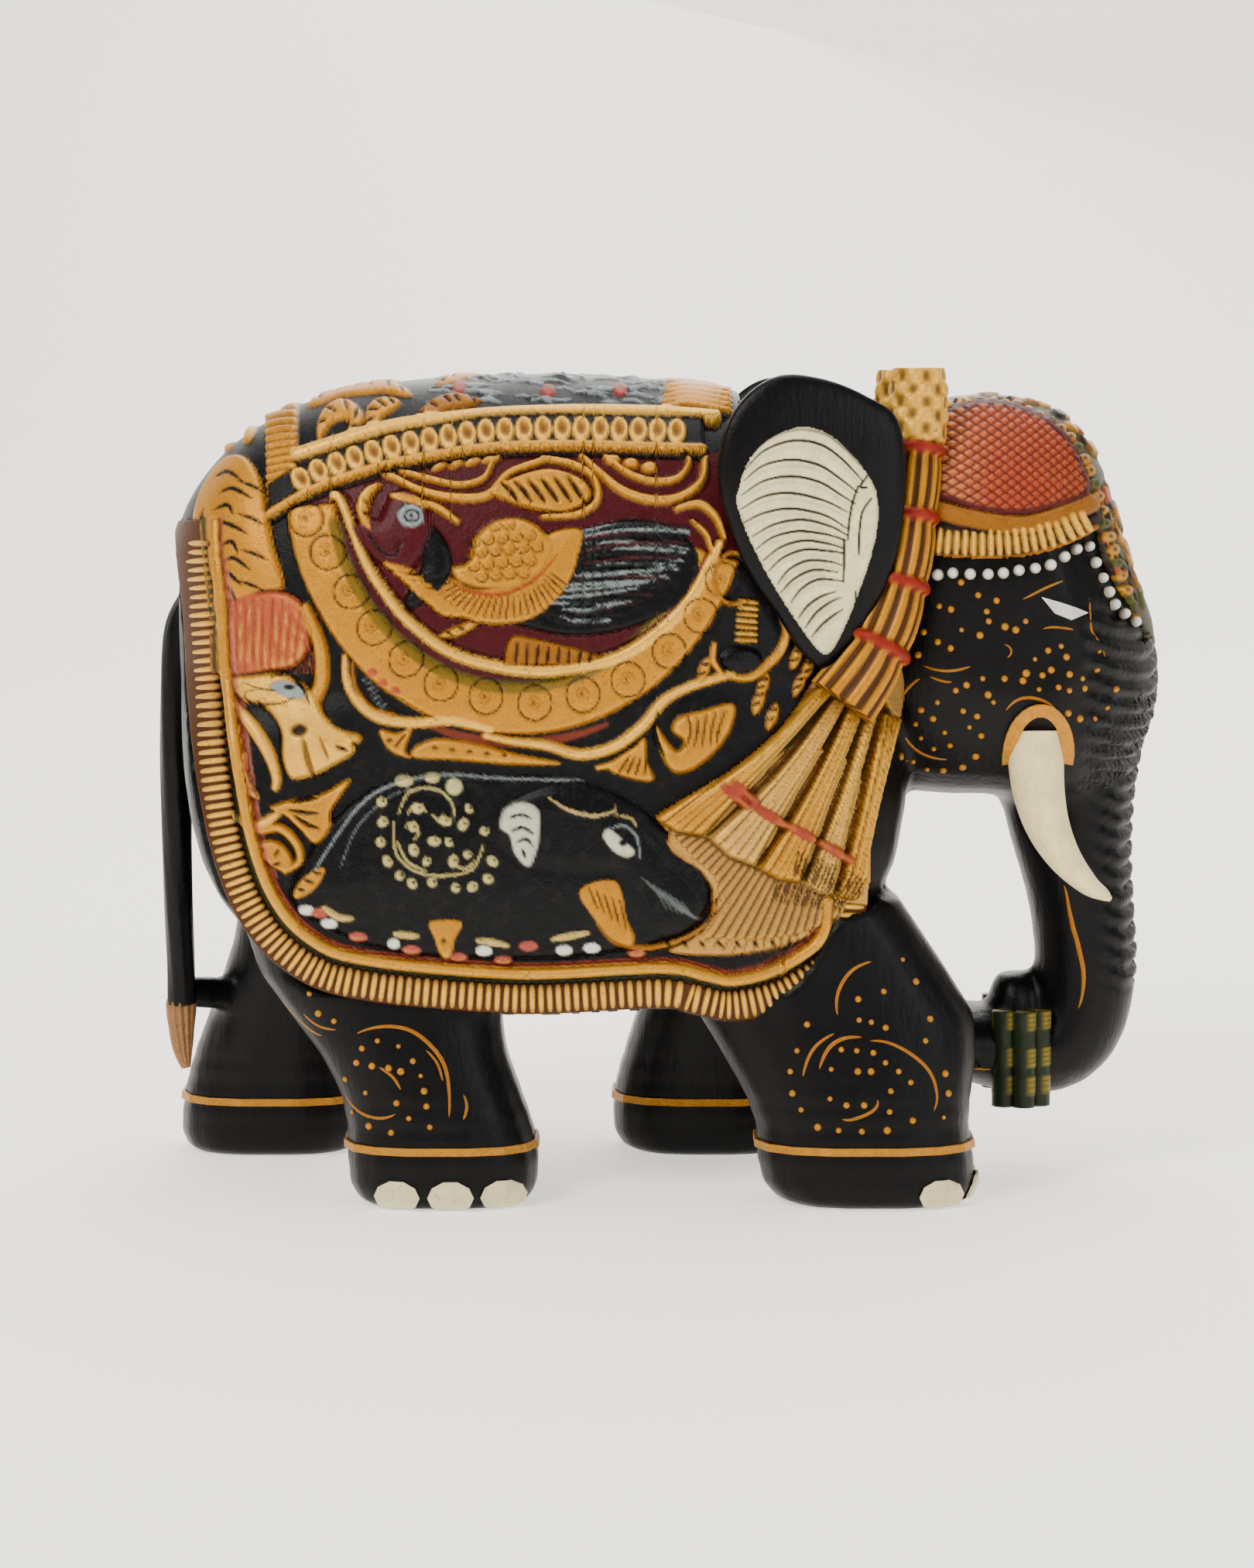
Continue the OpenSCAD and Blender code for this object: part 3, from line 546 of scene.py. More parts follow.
def carve_band(board):
    """Row of scooped gadroons on a band, with a rail along its foot."""
    foot = BAND_FOOT
    band = np.vstack([foot, (foot + [0, 5.6])[::-1]])
    board.plate(band, 2.0, BLACK, edge=0.4, piece="gadroon_band_right")
    spots, ways = stations(foot[(foot[:, 0] > -66) & (foot[:, 0] < 7.5)] + [0, 3.0], 3.42)
    for k, (spot, way) in enumerate(zip(spots, ways)):
        turn = math.degrees(math.atan2(way[1], way[0]))
        lean = 0.4 * math.sin(2.1 * k)
        cup = arc(0, 0, 1.55, 2.15, 0, 350, 14)
        a = math.radians(turn + lean)
        around = cup @ np.array([[math.cos(a), math.sin(a)], [-math.sin(a), math.cos(a)]]) + spot
        board.plate(around, 2.55, PALE_GOLD, edge=0.45)
        board.scoop(spot[0] + 0.1, spot[1] + 0.25, 1.15, 1.75, 0.75, DEEP_GOLD, 0.75, turn)
    board.cord(foot + [0, 0.45], 1.25, 2.7, GOLD, rough=0.35)
    board.cut(foot + [0, -0.75], 1.1, 0.5, BLACK, taper=0.0)


MEDAL = (-25.5, 129.5)


def medal_arc(shrink, start, end, steps=60):
    return arc(MEDAL[0], MEDAL[1], 41.5 - shrink, 43 - shrink, start, end, steps)


def carve_crescent(board):
    """Crescent with stamped rings, a mossy groove and an inner rail."""
    bowl = np.vstack([medal_arc(0.5, 182, 350), [[14, 136.2]], BAND_FOOT[::-1]])
    board.plate(bowl, 1.0, MAROON, edge=0.6, rough=0.3)
    band = np.vstack([medal_arc(0, 184, 343), medal_arc(8.8, 343, 184)])
    board.plate(band, 2.35, GOLD, edge=0.9, crown=0.25, bulge=4, piece="crescent_right")
    moss = medal_arc(8.2, 190, 341)
    board.stroke(moss, 2.4, MOSS, 0.75, lift=0.0, taper=0.1)
    board.cut(moss, 1.6, 0.55, None, taper=0.1)
    rail = bend([[-58.5, 128.5], [-57, 127], [-53, 117], [-49, 110.6], [-45, 106], [-38, 101], [-30, 98.5],
        [-20, 97.5], [-9, 99.5], [-2, 103], [4, 108], [8, 114], [10.8, 120]], 8)
    board.cord(rail, 2.3, 2.85, PALE_GOLD, taper=0.3, rough=0.33)
    board.cut(offset(rail, 1.35), 0.7, 0.5, MAROON, taper=0.1)
    under_rail = board.away(np.s_[:, :], rail)[0] < 1.1
    board.piece[under_rail] = board.part("crescent_right")
    rings = [(-63.2, 124.1), (-59.5, 118.3), (-55.4, 111.4), (-51.2, 105.1), (-45.4, 99.6), (-39, 95.4),
        (-31, 93.2), (-22.2, 92.1), (-13.6, 93.5), (-5.6, 96.1), (1.8, 101), (7.4, 107.2), (11.2, 113.6)]
    for k, (x, z) in enumerate(rings):
        board.cut(arc(x, z, 3.02, 3.02, 20 * k, 20 * k + 352, 30), 0.42, 0.45, DARK_BROWN, taper=0.0)
        t = np.linspace(0, 1, 22)
        a = np.radians(40 * k + 520 * t)
        curl = np.stack([x - 0.3 + 1.35 * (1 - t * 0.85) * np.cos(a),
            z + 0.2 + 1.35 * (1 - t * 0.85) * np.sin(a)], 1)
        board.cut(curl, 0.3, 0.22, BROWN, 0.65, taper=0.1)
        board.blob(x - 0.3, z + 0.1, 0.26, 0.26, DARK_BROWN, lift=0.0)
    knob = arc(13.2, 113.8, 3.6, 4.6, 30, 300, 18)
    board.cord(knob, 0.8, 2.9, DEEP_GOLD)
    board.stroke(medal_arc(-1.4, 246, 292), 2.0, (0.16, 0.03, 0.012), 0.9, lift=0.0)


def carve_bird(board):
    """Bird with its curled neck, scaly body and long tail inside the medallion."""
    piece = "bird_right"
    tail = [[-21, 121.5], [-14, 122.5], [-5, 124.4], [3, 122.6], [7.2, 117], [4, 110], [-4, 105.4],
        [-15, 103.6], [-25, 105.4], [-29, 107.6], [-22, 110.5], [-17, 115]]
    board.plate(bend(tail, 5, True), 1.9, BLACK, edge=0.9, piece=piece, rough=0.3)
    rng = np.random.default_rng(9)
    for k in range(38):
        t = k / 37
        root = np.array([-19.5 + 1.5 * math.sin(k), 121 - 14.0 * t])
        tip = np.array([5.5 - 16 * t * t, 122.4 - 15.5 * t + 1.5 * math.sin(2.3 * k)])
        mid = (root + tip) / 2 + [0, 1.6 - 2.6 * t]
        line = bend([root, mid, tip], 6)
        tone = [SILVER, BLACK, BLACK, SILVER, MAROON][k % 5]
        board.stroke(line[rng.integers(0, 5):], 0.62, tone, 0.9, lift=0.32)
        board.cut(line + [0, -0.42], 0.4, 0.35, BLACK, taper=0.3)
    wing = bend([[-43.5, 113.5], [-40.5, 109.5], [-35, 106.6], [-28.5, 105.6], [-22, 107.4], [-17, 112],
        [-14.4, 118.4], [-14.2, 122.6], [-19.5, 121.8], [-21.5, 117], [-26, 113.4], [-33, 112],
        [-38, 114.2]], 5, True)
    board.plate(wing, 2.3, GOLD, edge=0.8, crown=0.15, piece=piece)
    for k in range(26):
        a = math.radians(196 + 5.6 * k)
        inner = np.array([-29 + 10.2 * math.cos(a), 118 + 7.6 * math.sin(a)])
        outer = np.array([-28.6 + 14.2 * math.cos(a - 0.1), 118 + 11.4 * math.sin(a - 0.1)])
        board.cut([inner, outer], 0.5, 0.45, BROWN)
    board.stroke(bend([[-38, 113.4], [-34, 111.4], [-28, 111], [-22.4, 113.6], [-18.4, 118]], 6), 0.8, RED,
        0.9, lift=0.1)
    body = bend([[-37.6, 115.6], [-34.6, 116.8], [-33, 121.4], [-28.6, 124.4], [-23.4, 124], [-19.6, 120.4],
        [-21.4, 115.6], [-26, 112.6], [-31.6, 111.8], [-36, 113]], 5, True)
    board.plate(body, 2.75, GOLD, edge=1.2, crown=0.3, piece=piece)
    for row in range(5):
        for col in range(6):
            x = -34.4 + 2.5 * col + (row % 2) * 1.2
            z = 113.8 + 2.15 * row + 0.25 * col
            if np.hypot((x + 28) / 6.6, (z - 118.2) / 5.2) < 1:
                board.cut(arc(x, z, 1.05, 0.95, 190, 400, 12), 0.42, 0.42, DARK_BROWN, 0.9, taper=0.2)
                board.scoop(x + 0.2, z - 0.1, 0.4, 0.4, 0.2, DEEP_GOLD)
    neck = bend([[-44.5, 123.5], [-41.5, 120.6], [-40, 116.4], [-41.6, 113], [-44.6, 109.8]], 8)
    board.cord(neck, 5.6, 2.3, BLACK, taper=0.45, rough=0.3)
    head = bend([[-55, 123], [-52.4, 118], [-48.6, 115.4], [-44.4, 115.6], [-42.2, 119.6], [-41, 124.4],
        [-43, 128.6], [-46.4, 129.6], [-49, 127.6], [-50.4, 124.4], [-52.4, 124.6]], 6, True)
    board.plate(head, 2.3, MAROON, edge=1.2, crown=0.5, bulge=3, piece=piece, rough=0.3)
    board.cut(bend([[-52.8, 122.6], [-50, 118.6], [-47.4, 117.8], [-46.6, 120]], 6), 0.6, 0.5, BLACK)
    board.plate(arc(-44.6, 124.6, 2.3, 1.9, 0, 350, 20), 3.0, SILVER, edge=0.4, piece=piece)
    board.cut(arc(-44.4, 124.6, 1.25, 1.0, 0, 350, 20), 0.5, 0.4, BLACK, taper=0.0)
    board.blob(-44.5, 124.6, 0.5, 0.45, BLACK, 0.2)
    board.stroke(bend([[-47.2, 125.2], [-45.2, 126.8], [-42.8, 126.2]], 5), 0.5, BLACK, 1, 0.0)
    leaf_shape(board, [[-50, 130.6], [-52.6, 128.6], [-53.4, 125.4], [-52, 122.4]], 2.3, 2.6, GOLD, 0, piece)
    for x, z in [(-52.6, 127.2), (-52.8, 125.2)]:
        board.scoop(x, z, 0.5, 0.55, 0.8, DARK_BROWN)
    for k in range(7):
        x = -48.5 + 1.45 * k
        z = 115.6 - 1.3 * k
        leaf_shape(board, [[x - 1.2, z + 0.8], [x + 1.6, z - 0.2], [x + 4.6, z - 0.6]], 1.25, 2.5, GOLD, 0,
            piece)
    leaf_shape(board, [[-40, 103.4], [-36, 104.6], [-32, 106.6]], 1.8, 2.3, GOLD, 3, piece)
    foot = bend([[-28, 98.6], [-26.6, 103.4], [-22, 103], [-15, 101.4], [-10, 100]], 5)
    board.plate(np.vstack([foot, [[-12, 99.3], [-19, 98.5]]]), 2.0, DEEP_GOLD, edge=0.5, piece=piece)
    for k in range(8):
        x = -25.8 + 1.9 * k
        board.cut([[x, 98.6 + 0.05 * k], [x + 0.25, 102.6 - 0.28 * k]], 0.75, 0.6, DARK_BROWN)
    vines = [([[-50, 132.4], [-47.6, 131.6], [-43, 129.4], [-37, 128.2], [-31, 128.6], [-27, 132.4],
        [-21, 134.6]], 1.6), ([[-49, 133.4], [-42, 131.6], [-36, 130.4], [-31.6, 131.6], [-30, 134.4],
        [-28.6, 135.4]], 1.1), ([[-48, 128.4], [-44, 127.4], [-40, 126.4], [-36.4, 124]], 1.5),
        ([[-21, 135], [-15.6, 134], [-11.8, 131.6], [-11.2, 127.6], [-15, 125.2], [-21, 124.8]], 1.3),
        ([[-14, 135.4], [-10.6, 132.4], [-6.6, 129.4], [-1.6, 127.8], [3.6, 128.2], [7.6, 131], [8.2, 135]],
        1.7), ([[-9.8, 135.4], [-5.6, 132.4], [-1, 131], [3.4, 131.6], [5.4, 134.4], [4, 135.8]], 1.2),
        ([[3.2, 126.2], [7.2, 127], [10.2, 124.6], [11.6, 121]], 1.5),
        ([[6, 124], [8.6, 121.4], [9.4, 118]], 1.0)]
    for line, width in vines:
        board.cord(bend(line, 7), width, 2.6, GOLD, taper=0.35)
    leaf = bend([[-30.4, 129.2], [-26, 131.8], [-19.6, 133.2], [-13.6, 131.2], [-12.4, 127.8], [-17, 125.4],
        [-23, 126.2], [-27.6, 127.6]], 5, True)
    board.plate(leaf, 2.5, GOLD, edge=0.7, crown=0.2, piece=piece)
    for k in range(6):
        x = -27.4 + 2.4 * k
        board.cut(bend([[x - 0.9, 130.4 + 0.2 * k], [x + 0.7, 129], [x + 2.0, 127.2]], 5), 1.05, 0.75,
            DARK_BROWN)
    for k in range(4):
        leaf_shape(board, [[-41 + 3 * k, 132.9 + 0.45 * k], [-39.6 + 3 * k, 133.7 + 0.4 * k],
            [-37.8 + 3 * k, 134.4 + 0.3 * k]], 1.2, 2.3, GOLD)
    for k in range(3):
        board.plate(arc(-8.4 + 3.3 * k, 134.8 - 0.7 * k, 1.5, 1.0, 0, 340, 10), 2.3, GOLD, edge=0.5)


def carve_lion(board):
    """Lion: striped neck, red mane, and its head bent down over a curling leaf."""
    piece = "lion_right"
    neck = bend([[-83.4, 122], [-82, 129], [-78, 134.6], [-74, 135], [-71, 130], [-69.4, 120],
        [-67.6, 112.4], [-72, 111], [-78, 107], [-82.6, 104], [-81.4, 112]], 5, True)
    board.plate(neck, 2.2, GOLD, edge=1.0, crown=0.5, piece=piece)
    for k, z in enumerate([131.4, 128.6, 125.8, 122.8, 119.6, 116.8, 114.4, 112.0, 109.6]):
        x = -78.6 + 0.8 * math.sin(1.7 * k)
        tip = x + 4.6 + 1.6 * math.sin(2.6 * k)
        board.stroke(bend([[x, z - 0.4], [x + 2.2, z + 0.5], [tip, z - 1.0 - 0.16 * k]], 6), 0.95, BLACK,
            1.0, -0.15, 0.9)
        if k % 2 == 0:
            board.stroke(bend([[x + 3.8, z - 1.0], [x + 6, z - 1.6], [x + 8.4, z - 2.8]], 6), 0.75, BLACK,
                1.0, -0.15, 0.9)
    board.stroke(bend([[-82.6, 109], [-81.4, 116], [-82.4, 121], [-80.6, 125.6]], 6), 0.8, BLACK, 1.0, -0.2)
    board.cut(bend([[-80.6, 106], [-79.6, 112], [-80.8, 117], [-79.6, 122]], 6), 0.7, 0.5, DARK_BROWN)
    for x, z in [(-85.6, 127), (-86.4, 122.4), (-84.2, 130), (-82.6, 133), (-80.2, 135.4), (-77, 137.6),
            (-73.6, 139)]:
        leaf_shape(board, [[x - 0.6, z - 1.6], [x + 0.2, z], [x + 1.2, z + 1.6]], 1.5, 1.9, GOLD)
    mane = bend([[-79, 107.4], [-74.4, 110.6], [-69, 111.6], [-64.4, 109.4], [-62.4, 103], [-65, 98.6],
        [-70, 97.4], [-76, 96.6], [-80.6, 97.6], [-80.6, 102]], 5, True)
    board.plate(mane, 2.5, ROSE, edge=0.9, crown=0.5, piece=piece, rough=0.5)
    for k in range(26):
        x = -79.4 + 0.68 * k
        lean = 0.05 * (k - 13)
        high = 110.2 - 0.05 * (k - 13) ** 2 * 0.35
        board.cut([[x, 97.2], [x + lean, 103], [x + lean * 2.4, high]], 0.42, 0.4,
                  (0.24, 0.03, 0.02) if k % 2 else PALE_GOLD, 0.7, taper=0.4)
    board.cord(bend([[-63.6, 108.6], [-61, 102], [-60.4, 96], [-61.6, 91], [-58.6, 87], [-54, 85.8]], 8),
        2.6, 2.8, GOLD, 0.35)
    face = bend([[-77.4, 96.2], [-73, 97], [-67, 97.2], [-62.6, 94.6], [-60.2, 89.6], [-55.4, 86.2],
        [-54.6, 83.4], [-58.2, 81], [-61.4, 79.4], [-65.6, 78.6], [-67.2, 82], [-67.4, 87], [-70.2, 90.6],
        [-74.6, 92]], 5, True)
    board.plate(face, 2.7, PALE_GOLD, edge=1.0, crown=0.55, bulge=4, piece=piece)
    board.plate(bend([[-68.8, 93.6], [-67.4, 96], [-64.6, 95.4], [-62.6, 92.4], [-65.4, 91.8]], 5, True),
        3.4, SILVER, edge=0.4)
    board.stroke(bend([[-69, 96.6], [-66, 97], [-63.4, 94.4], [-62.2, 91]], 6), 0.8, BLACK, 1, 0.05)
    board.blob(-65.4, 94.2, 1.0, 0.9, BLACK, 0.15)
    board.stroke(bend([[-73.6, 95], [-70.6, 93.6], [-67.6, 93.2]], 6), 0.45, BLACK, 1, 0)
    board.stroke(bend([[-73, 91.6], [-70.4, 91], [-67.2, 90.9], [-64.4, 92]], 6), 0.5, BLACK, 1, 0)
    board.stroke(arc(-71.8, 92.2, 1.5, 1.0, 60, 330, 10), 0.4, BLACK, 1, 0)
    board.scoop(-64, 87, 1.9, 1.35, 1.0, DARK_BROWN, 1.0, 10)
    board.cut(bend([[-63.2, 85.4], [-62.6, 82], [-61.6, 78.9]], 6), 1.3, 0.8, BROWN, 0.8)
    board.cut(bend([[-60.4, 86], [-59, 82.4]], 6), 0.8, 0.4, DEEP_GOLD, 0.7)
    board.cut(bend([[-57.6, 84.6], [-55.6, 83.8]], 4), 1.0, 0.6, DARK_BROWN)
    for line, width in [([[-76.8, 95], [-75.4, 91], [-72, 87], [-69.6, 83], [-68.4, 79], [-68.6, 77]], 2.4),
            ([[-76.2, 72.4], [-73.4, 70.4], [-70.4, 70.8], [-67, 73.4]], 1.9)]:
        board.cord(bend(line, 8), width, 2.6, PALE_GOLD, taper=0.45)
    leaf_shape(board, [[-73.6, 83.4], [-74.4, 80.4], [-73.4, 77], [-71.6, 75]], 2.3, 2.5, PALE_GOLD, 0, piece)
    for z in (80, 78.2, 76.6):
        board.scoop(-73.4 + (80 - z) * 0.3, z, 0.42, 0.42, 0.5, BLACK)
    fan = bend([[-69.6, 73.4], [-66, 74.8], [-60.6, 75.8], [-55.2, 78.6], [-58.6, 73], [-58.8, 70],
        [-61.6, 67], [-64.4, 69.6], [-67, 72]], 5, True)
    board.plate(fan, 2.5, GOLD, edge=0.6, crown=0.2, piece=piece)
    for line in ([[-66, 74.4], [-62.6, 75], [-60.8, 75.2]], [[-66.4, 73.2], [-63, 72.6], [-60.4, 72.6]],
            [[-65.4, 72.2], [-62.6, 70.4], [-60.4, 69.8]]):
        board.cut(bend(line, 5), 0.95, 0.8, DARK_BROWN, taper=0.8)
    board.cord(bend([[-74.8, 71], [-72, 69.2], [-68, 69.8], [-65, 67], [-64.4, 63.8], [-67, 62]], 8), 1.7,
        2.5, GOLD, 0.4)
    curl = bend([[-73.4, 66.4], [-70, 67.6], [-67.4, 66.8], [-65.6, 64], [-66.6, 61.8], [-69, 62.6],
        [-71.4, 64.4]], 5, True)
    board.plate(curl, 2.4, GOLD, edge=0.6)
    for x, z, turn in [(-71.2, 65.8, 30), (-68.4, 65.4, 60), (-68.4, 63.4, 20)]:
        board.scoop(x, z, 1.1, 0.4, 0.6, DARK_BROWN, 1, turn)


def carve_leaves(board):
    """Vines and leaves between the figures."""
    board.cord(bend([[-56.4, 100], [-56, 96], [-54, 92], [-50, 89.4], [-44, 88.6], [-37, 88.9],
        [-30, 87.4]], 8), 1.9, 2.3, PALE_GOLD, 0.4)
    board.cord(bend([[-55, 99], [-54.4, 95], [-51.6, 91.2], [-47, 90]], 8), 0.7, 2.1, DEEP_GOLD, 0.5)
    for x, z in [(-51.4, 97.4), (-49.4, 95.6), (-47.2, 94.2)]:
        board.plate(arc(x, z, 1.0, 0.8, 0, 340, 10), 2.0, ROSE, edge=0.4)
    for k in range(7):
        board.stroke([[-53.2 + 0.5 * k, 96 - 0.9 * k], [-52 + 0.5 * k, 96.4 - 0.8 * k]], 0.3, SILVER, 0.6,
            0.05)
    small = bend([[-50, 87.2], [-46.6, 86.8], [-44, 88.2], [-45.4, 84], [-44.4, 82.4], [-48, 83.6]], 5, True)
    board.plate(small, 2.1, GOLD, edge=0.5)
    board.scoop(-48.2, 85.6, 0.8, 0.6, 0.6, DARK_BROWN)
    board.cut([[-47.2, 84.4], [-45.2, 86.8]], 0.6, 0.5, DARK_BROWN)
    long_leaf = bend([[-43.8, 84.2], [-39.6, 85.8], [-33, 85], [-26, 83.2], [-17.6, 81.4], [-26, 81.2],
        [-36, 82], [-43.6, 82.4]], 5, True)
    board.plate(long_leaf, 2.2, GOLD, edge=0.6, crown=0.2)
    for k in range(5):
        board.scoop(-40 + 3.1 * k, 84.3 - 0.35 * k, 0.8, 0.5, 0.5, DARK_BROWN, 0.9, -10)
    board.cord(bend([[-31, 86.4], [-26, 85.4], [-20, 84.6], [-14, 83], [-8, 84.4], [-3, 88], [1, 92.4],
        [6, 95], [13, 97]], 9), 2.1, 2.4, PALE_GOLD, 0.35)
    board.cord(bend([[-3.6, 84.4], [-8, 81.4], [-11, 80.6]], 5), 1.2, 2.3, GOLD, 0.3)
    board.plate(bend([[-9, 80.4], [-5.4, 78.8], [-1, 78.4], [-2.2, 82], [-2.6, 86], [-5.4, 83]], 5, True),
        2.3, GOLD, edge=0.5)
    for k in range(4):
        board.cut([[-7.4 + 1.6 * k, 79.4], [-5.4 + 1.1 * k, 82.6]], 0.6, 0.5, DARK_BROWN)
    paisley = bend([[-0.6, 88], [0, 84], [2.4, 80], [6, 80.2], [10, 83.4], [12.8, 87.6], [13.2, 91.6],
        [8, 90.6], [3.4, 89.4], [2.4, 87.2], [4.4, 85.4], [3.2, 83.8], [1, 86]], 5, True)
    board.plate(paisley, 2.5, GOLD, edge=0.8, crown=0.3)
    for k in range(5):
        board.cut(bend([[5.2 + 1.6 * k, 89.6 + 0.2 * k], [5.6 + 1.2 * k, 87], [4.8 + 1.4 * k, 84.4]], 5),
            0.6, 0.45, BROWN)
    board.cut(bend([[-0.2, 90.4], [-0.6, 86.6], [1, 82.6]], 5), 0.9, 0.8, BLACK)
    for k in range(7):
        board.cord([[14.4 - 0.1 * k, 109.8 - 1.15 * k], [17.6 - 0.05 * k, 109.4 - 1.1 * k]], 0.75, 2.4,
                   PALE_GOLD if k % 2 else GOLD, 0.3)
    board.plate(arc(14.6, 99.4, 3.8, 2.4, 0, 350, 16), 1.9, BLACK, edge=1.0, crown=0.5, rough=0.25)
    board.cord(bend([[21.6, 108], [22.8, 104.6], [21.6, 101], [19, 98.4], [16, 96.4], [12, 96.6]], 8), 1.6,
        2.3, GOLD, 0.4)
    board.cord(bend([[10, 102.2], [9.6, 99.4], [11.2, 97]], 6), 1.1, 2.2, GOLD, 0.3)
    for x, z in [(24.4, 100), (26.4, 98), (24.8, 95), (18.4, 95), (17.6, 92), (20, 89.4), (8, 97.6)]:
        leaf_shape(board, [[x - 0.8, z - 2.2], [x, z], [x + 0.9, z + 2.2]], 1.9, 2.1, GOLD, 2)


def carve_small_elephant(board):
    """Small elephant lying behind the rail: saddle scroll, ear, brow, eye and trunk patch, with painted
    silver highlights on its black.
    """
    shape = bend([[-66, 57], [-62.4, 66], [-56, 73.6], [-48, 78.4], [-38, 79.6], [-28, 79.2], [-18, 79],
        [-9, 76.6], [-2, 72.6], [4.4, 66.6], [8.6, 61], [9, 55.4], [5.6, 51.2], [-1, 48.8], [-14, 46.6],
        [-30, 46.2], [-46, 47.2], [-57, 50.6]], 5, True)
    board.plate(shape, 2.2, BLACK, edge=1.6, crown=0.9, bulge=14, piece="small_elephant_right", rough=0.27)
    head = bend([[-20, 77], [-12, 75.6], [-4, 70.4], [2.6, 63.6], [8, 57.6], [6, 52], [0, 50.4],
        [-4.6, 54.6], [-8, 61], [-14, 61], [-22, 62], [-29, 66], [-27.6, 73]], 5, True)
    board.plate(head, 3.0, BLACK, edge=1.6, crown=0.35, rough=0.27)
    # Painted highlights: silver strokes along the top of the black back.
    board.stroke(bend([[-63, 60], [-58, 68], [-52.6, 74.8], [-46, 78.2], [-38, 79.4], [-28, 78.8],
        [-13.6, 78.4]], 8), 0.55, SILVER, 0.75, 0.12, 0.5)
    board.stroke(bend([[-57, 63], [-54, 70], [-49, 75], [-44.6, 77]], 6), 0.3, SILVER, 0.5, 0.05)
    for x, z, rx, rz in [(-45.6, 78.3, 1.7, 1.0), (-40.6, 78.9, 1.4, 0.9), (-36.6, 77.3, 1.5, 1.5)]:
        board.blob(x, z, rx, rz, (0.5, 0.45, 0.2), 0.3)
    lines = [[[-47.4, 71], [-47, 65.4], [-43.6, 62.2], [-38.6, 61.4], [-33.4, 62.6], [-31.4, 67]],
        [[-46.6, 72.4], [-44.6, 76.4], [-40, 76.9], [-37, 74.4], [-36.8, 71.2]],
        [[-46.8, 67.6], [-45, 64], [-41.6, 62.2]], [[-45, 72.4], [-43.4, 74.2], [-41.6, 73]],
        [[-45.4, 70.2], [-43.8, 71], [-43, 69], [-44, 67.8]], [[-40.6, 72.4], [-39, 71], [-38.6, 72.6]],
        [[-37, 63.4], [-34.6, 62.7], [-33, 64]]]
    for line in lines:
        board.stroke(bend(line, 6), 0.5, (0.42, 0.34, 0.12), 1, 0.18, 0.5)
    dots = [(-49.6, 74.6), (-49.4, 71), (-49.8, 67.4), (-48.6, 64), (-46.4, 61.4), (-43, 73.4), (-44, 70),
        (-43.9, 66), (-41.6, 64), (-40.2, 67.6), (-37.6, 67.4), (-36.8, 64), (-34.2, 65.2), (-38.2, 71.2),
        (-34, 73.4), (-35, 70.6), (-31.2, 69.4), (-29.8, 64), (-36.4, 59.2), (-33.4, 59.4), (-40.6, 60.2),
        (-44.2, 60), (-30.6, 60.8)]
    for k, (x, z) in enumerate(dots):
        board.blob(x, z, 0.95 + 0.25 * math.sin(3 * k), 0.85, (0.50, 0.42, 0.16), 0.3, 40 * k)
        board.blob(x + 0.3, z + 0.2, 0.35, 0.3, BLACK, 0.0, 0)
    ear = bend([[-28.4, 70.2], [-27.6, 73.2], [-24.6, 74.6], [-21.6, 73.2], [-21.4, 69], [-22, 65.6],
        [-23.4, 63], [-25.8, 65.4], [-26.6, 68.6]], 5, True)
    board.plate(ear, 3.9, (0.50, 0.48, 0.37), edge=0.6, crown=0.3)
    for line in ([[-26.6, 72], [-24.6, 72.4], [-22.8, 71.9]], [[-26.2, 69.4], [-24.4, 70.2], [-22.4, 69]],
            [[-25.4, 67.6], [-23.6, 68], [-22.6, 66.8]], [[-24.4, 66.2], [-23.8, 64.6]]):
        board.cut(bend(line, 5), 0.7, 0.5, BLACK)
    board.stroke(bend([[-19.6, 75.4], [-16, 73.2], [-11.6, 72.2], [-8, 73], [-7.6, 74]], 6), 0.65,
        (0.45, 0.33, 0.12), 1, 0.25)
    board.stroke(bend([[-8, 72.4], [-5, 71.6], [-4, 70.2]], 5), 0.45, (0.45, 0.33, 0.12), 0.9, 0.15)
    # Painted highlight: silver stroke over the eye.
    board.stroke(bend([[-9.6, 69.6], [-6.4, 70.4], [-4, 68.4], [-3.4, 64.6]], 6), 0.5, SILVER, 0.7, 0.15)
    eye = bend([[-10, 68.6], [-8.6, 69.6], [-6.2, 67.6], [-4.4, 65.8], [-5.6, 64.8], [-8, 65.8]], 5, True)
    board.plate(eye, 3.7, (0.52, 0.5, 0.36), edge=0.4)
    board.blob(-6.4, 67.4, 0.8, 0.7, BLACK, 0.1)
    # Painted highlights: faint silver strokes down the trunk.
    for a in range(8):
        board.stroke(bend([[-3 + a, 61 - 0.6 * a], [-0.5 + a, 58.6 - 0.7 * a], [1.4 + a, 55.4 - 0.3 * a]],
            5), 0.35, SILVER, 0.35, 0.1)
    patch_line = bend([[-14.2, 58], [-12, 60], [-8, 60.4], [-6.6, 57.8], [-5.8, 53.6], [-4.4, 50.2],
        [-5.4, 48.4], [-9, 50], [-11.4, 53.4]], 5, True)
    board.plate(patch_line, 3.2, GOLD, edge=0.6, crown=0.2)
    for k in range(5):
        board.cut([[-12.6 + 1.4 * k, 59.4 - 0.6 * k], [-11 + 1.3 * k, 55.6 - 1.0 * k]], 0.5, 0.45, BROWN)
    board.cord(bend([[-11, 52.6], [-8, 49.4], [-3.4, 48.2], [0.6, 48.6], [5, 50.2], [9.4, 53.4], [9.8, 58]],
        7), 1.1, 2.5, DEEP_GOLD, 0.5)


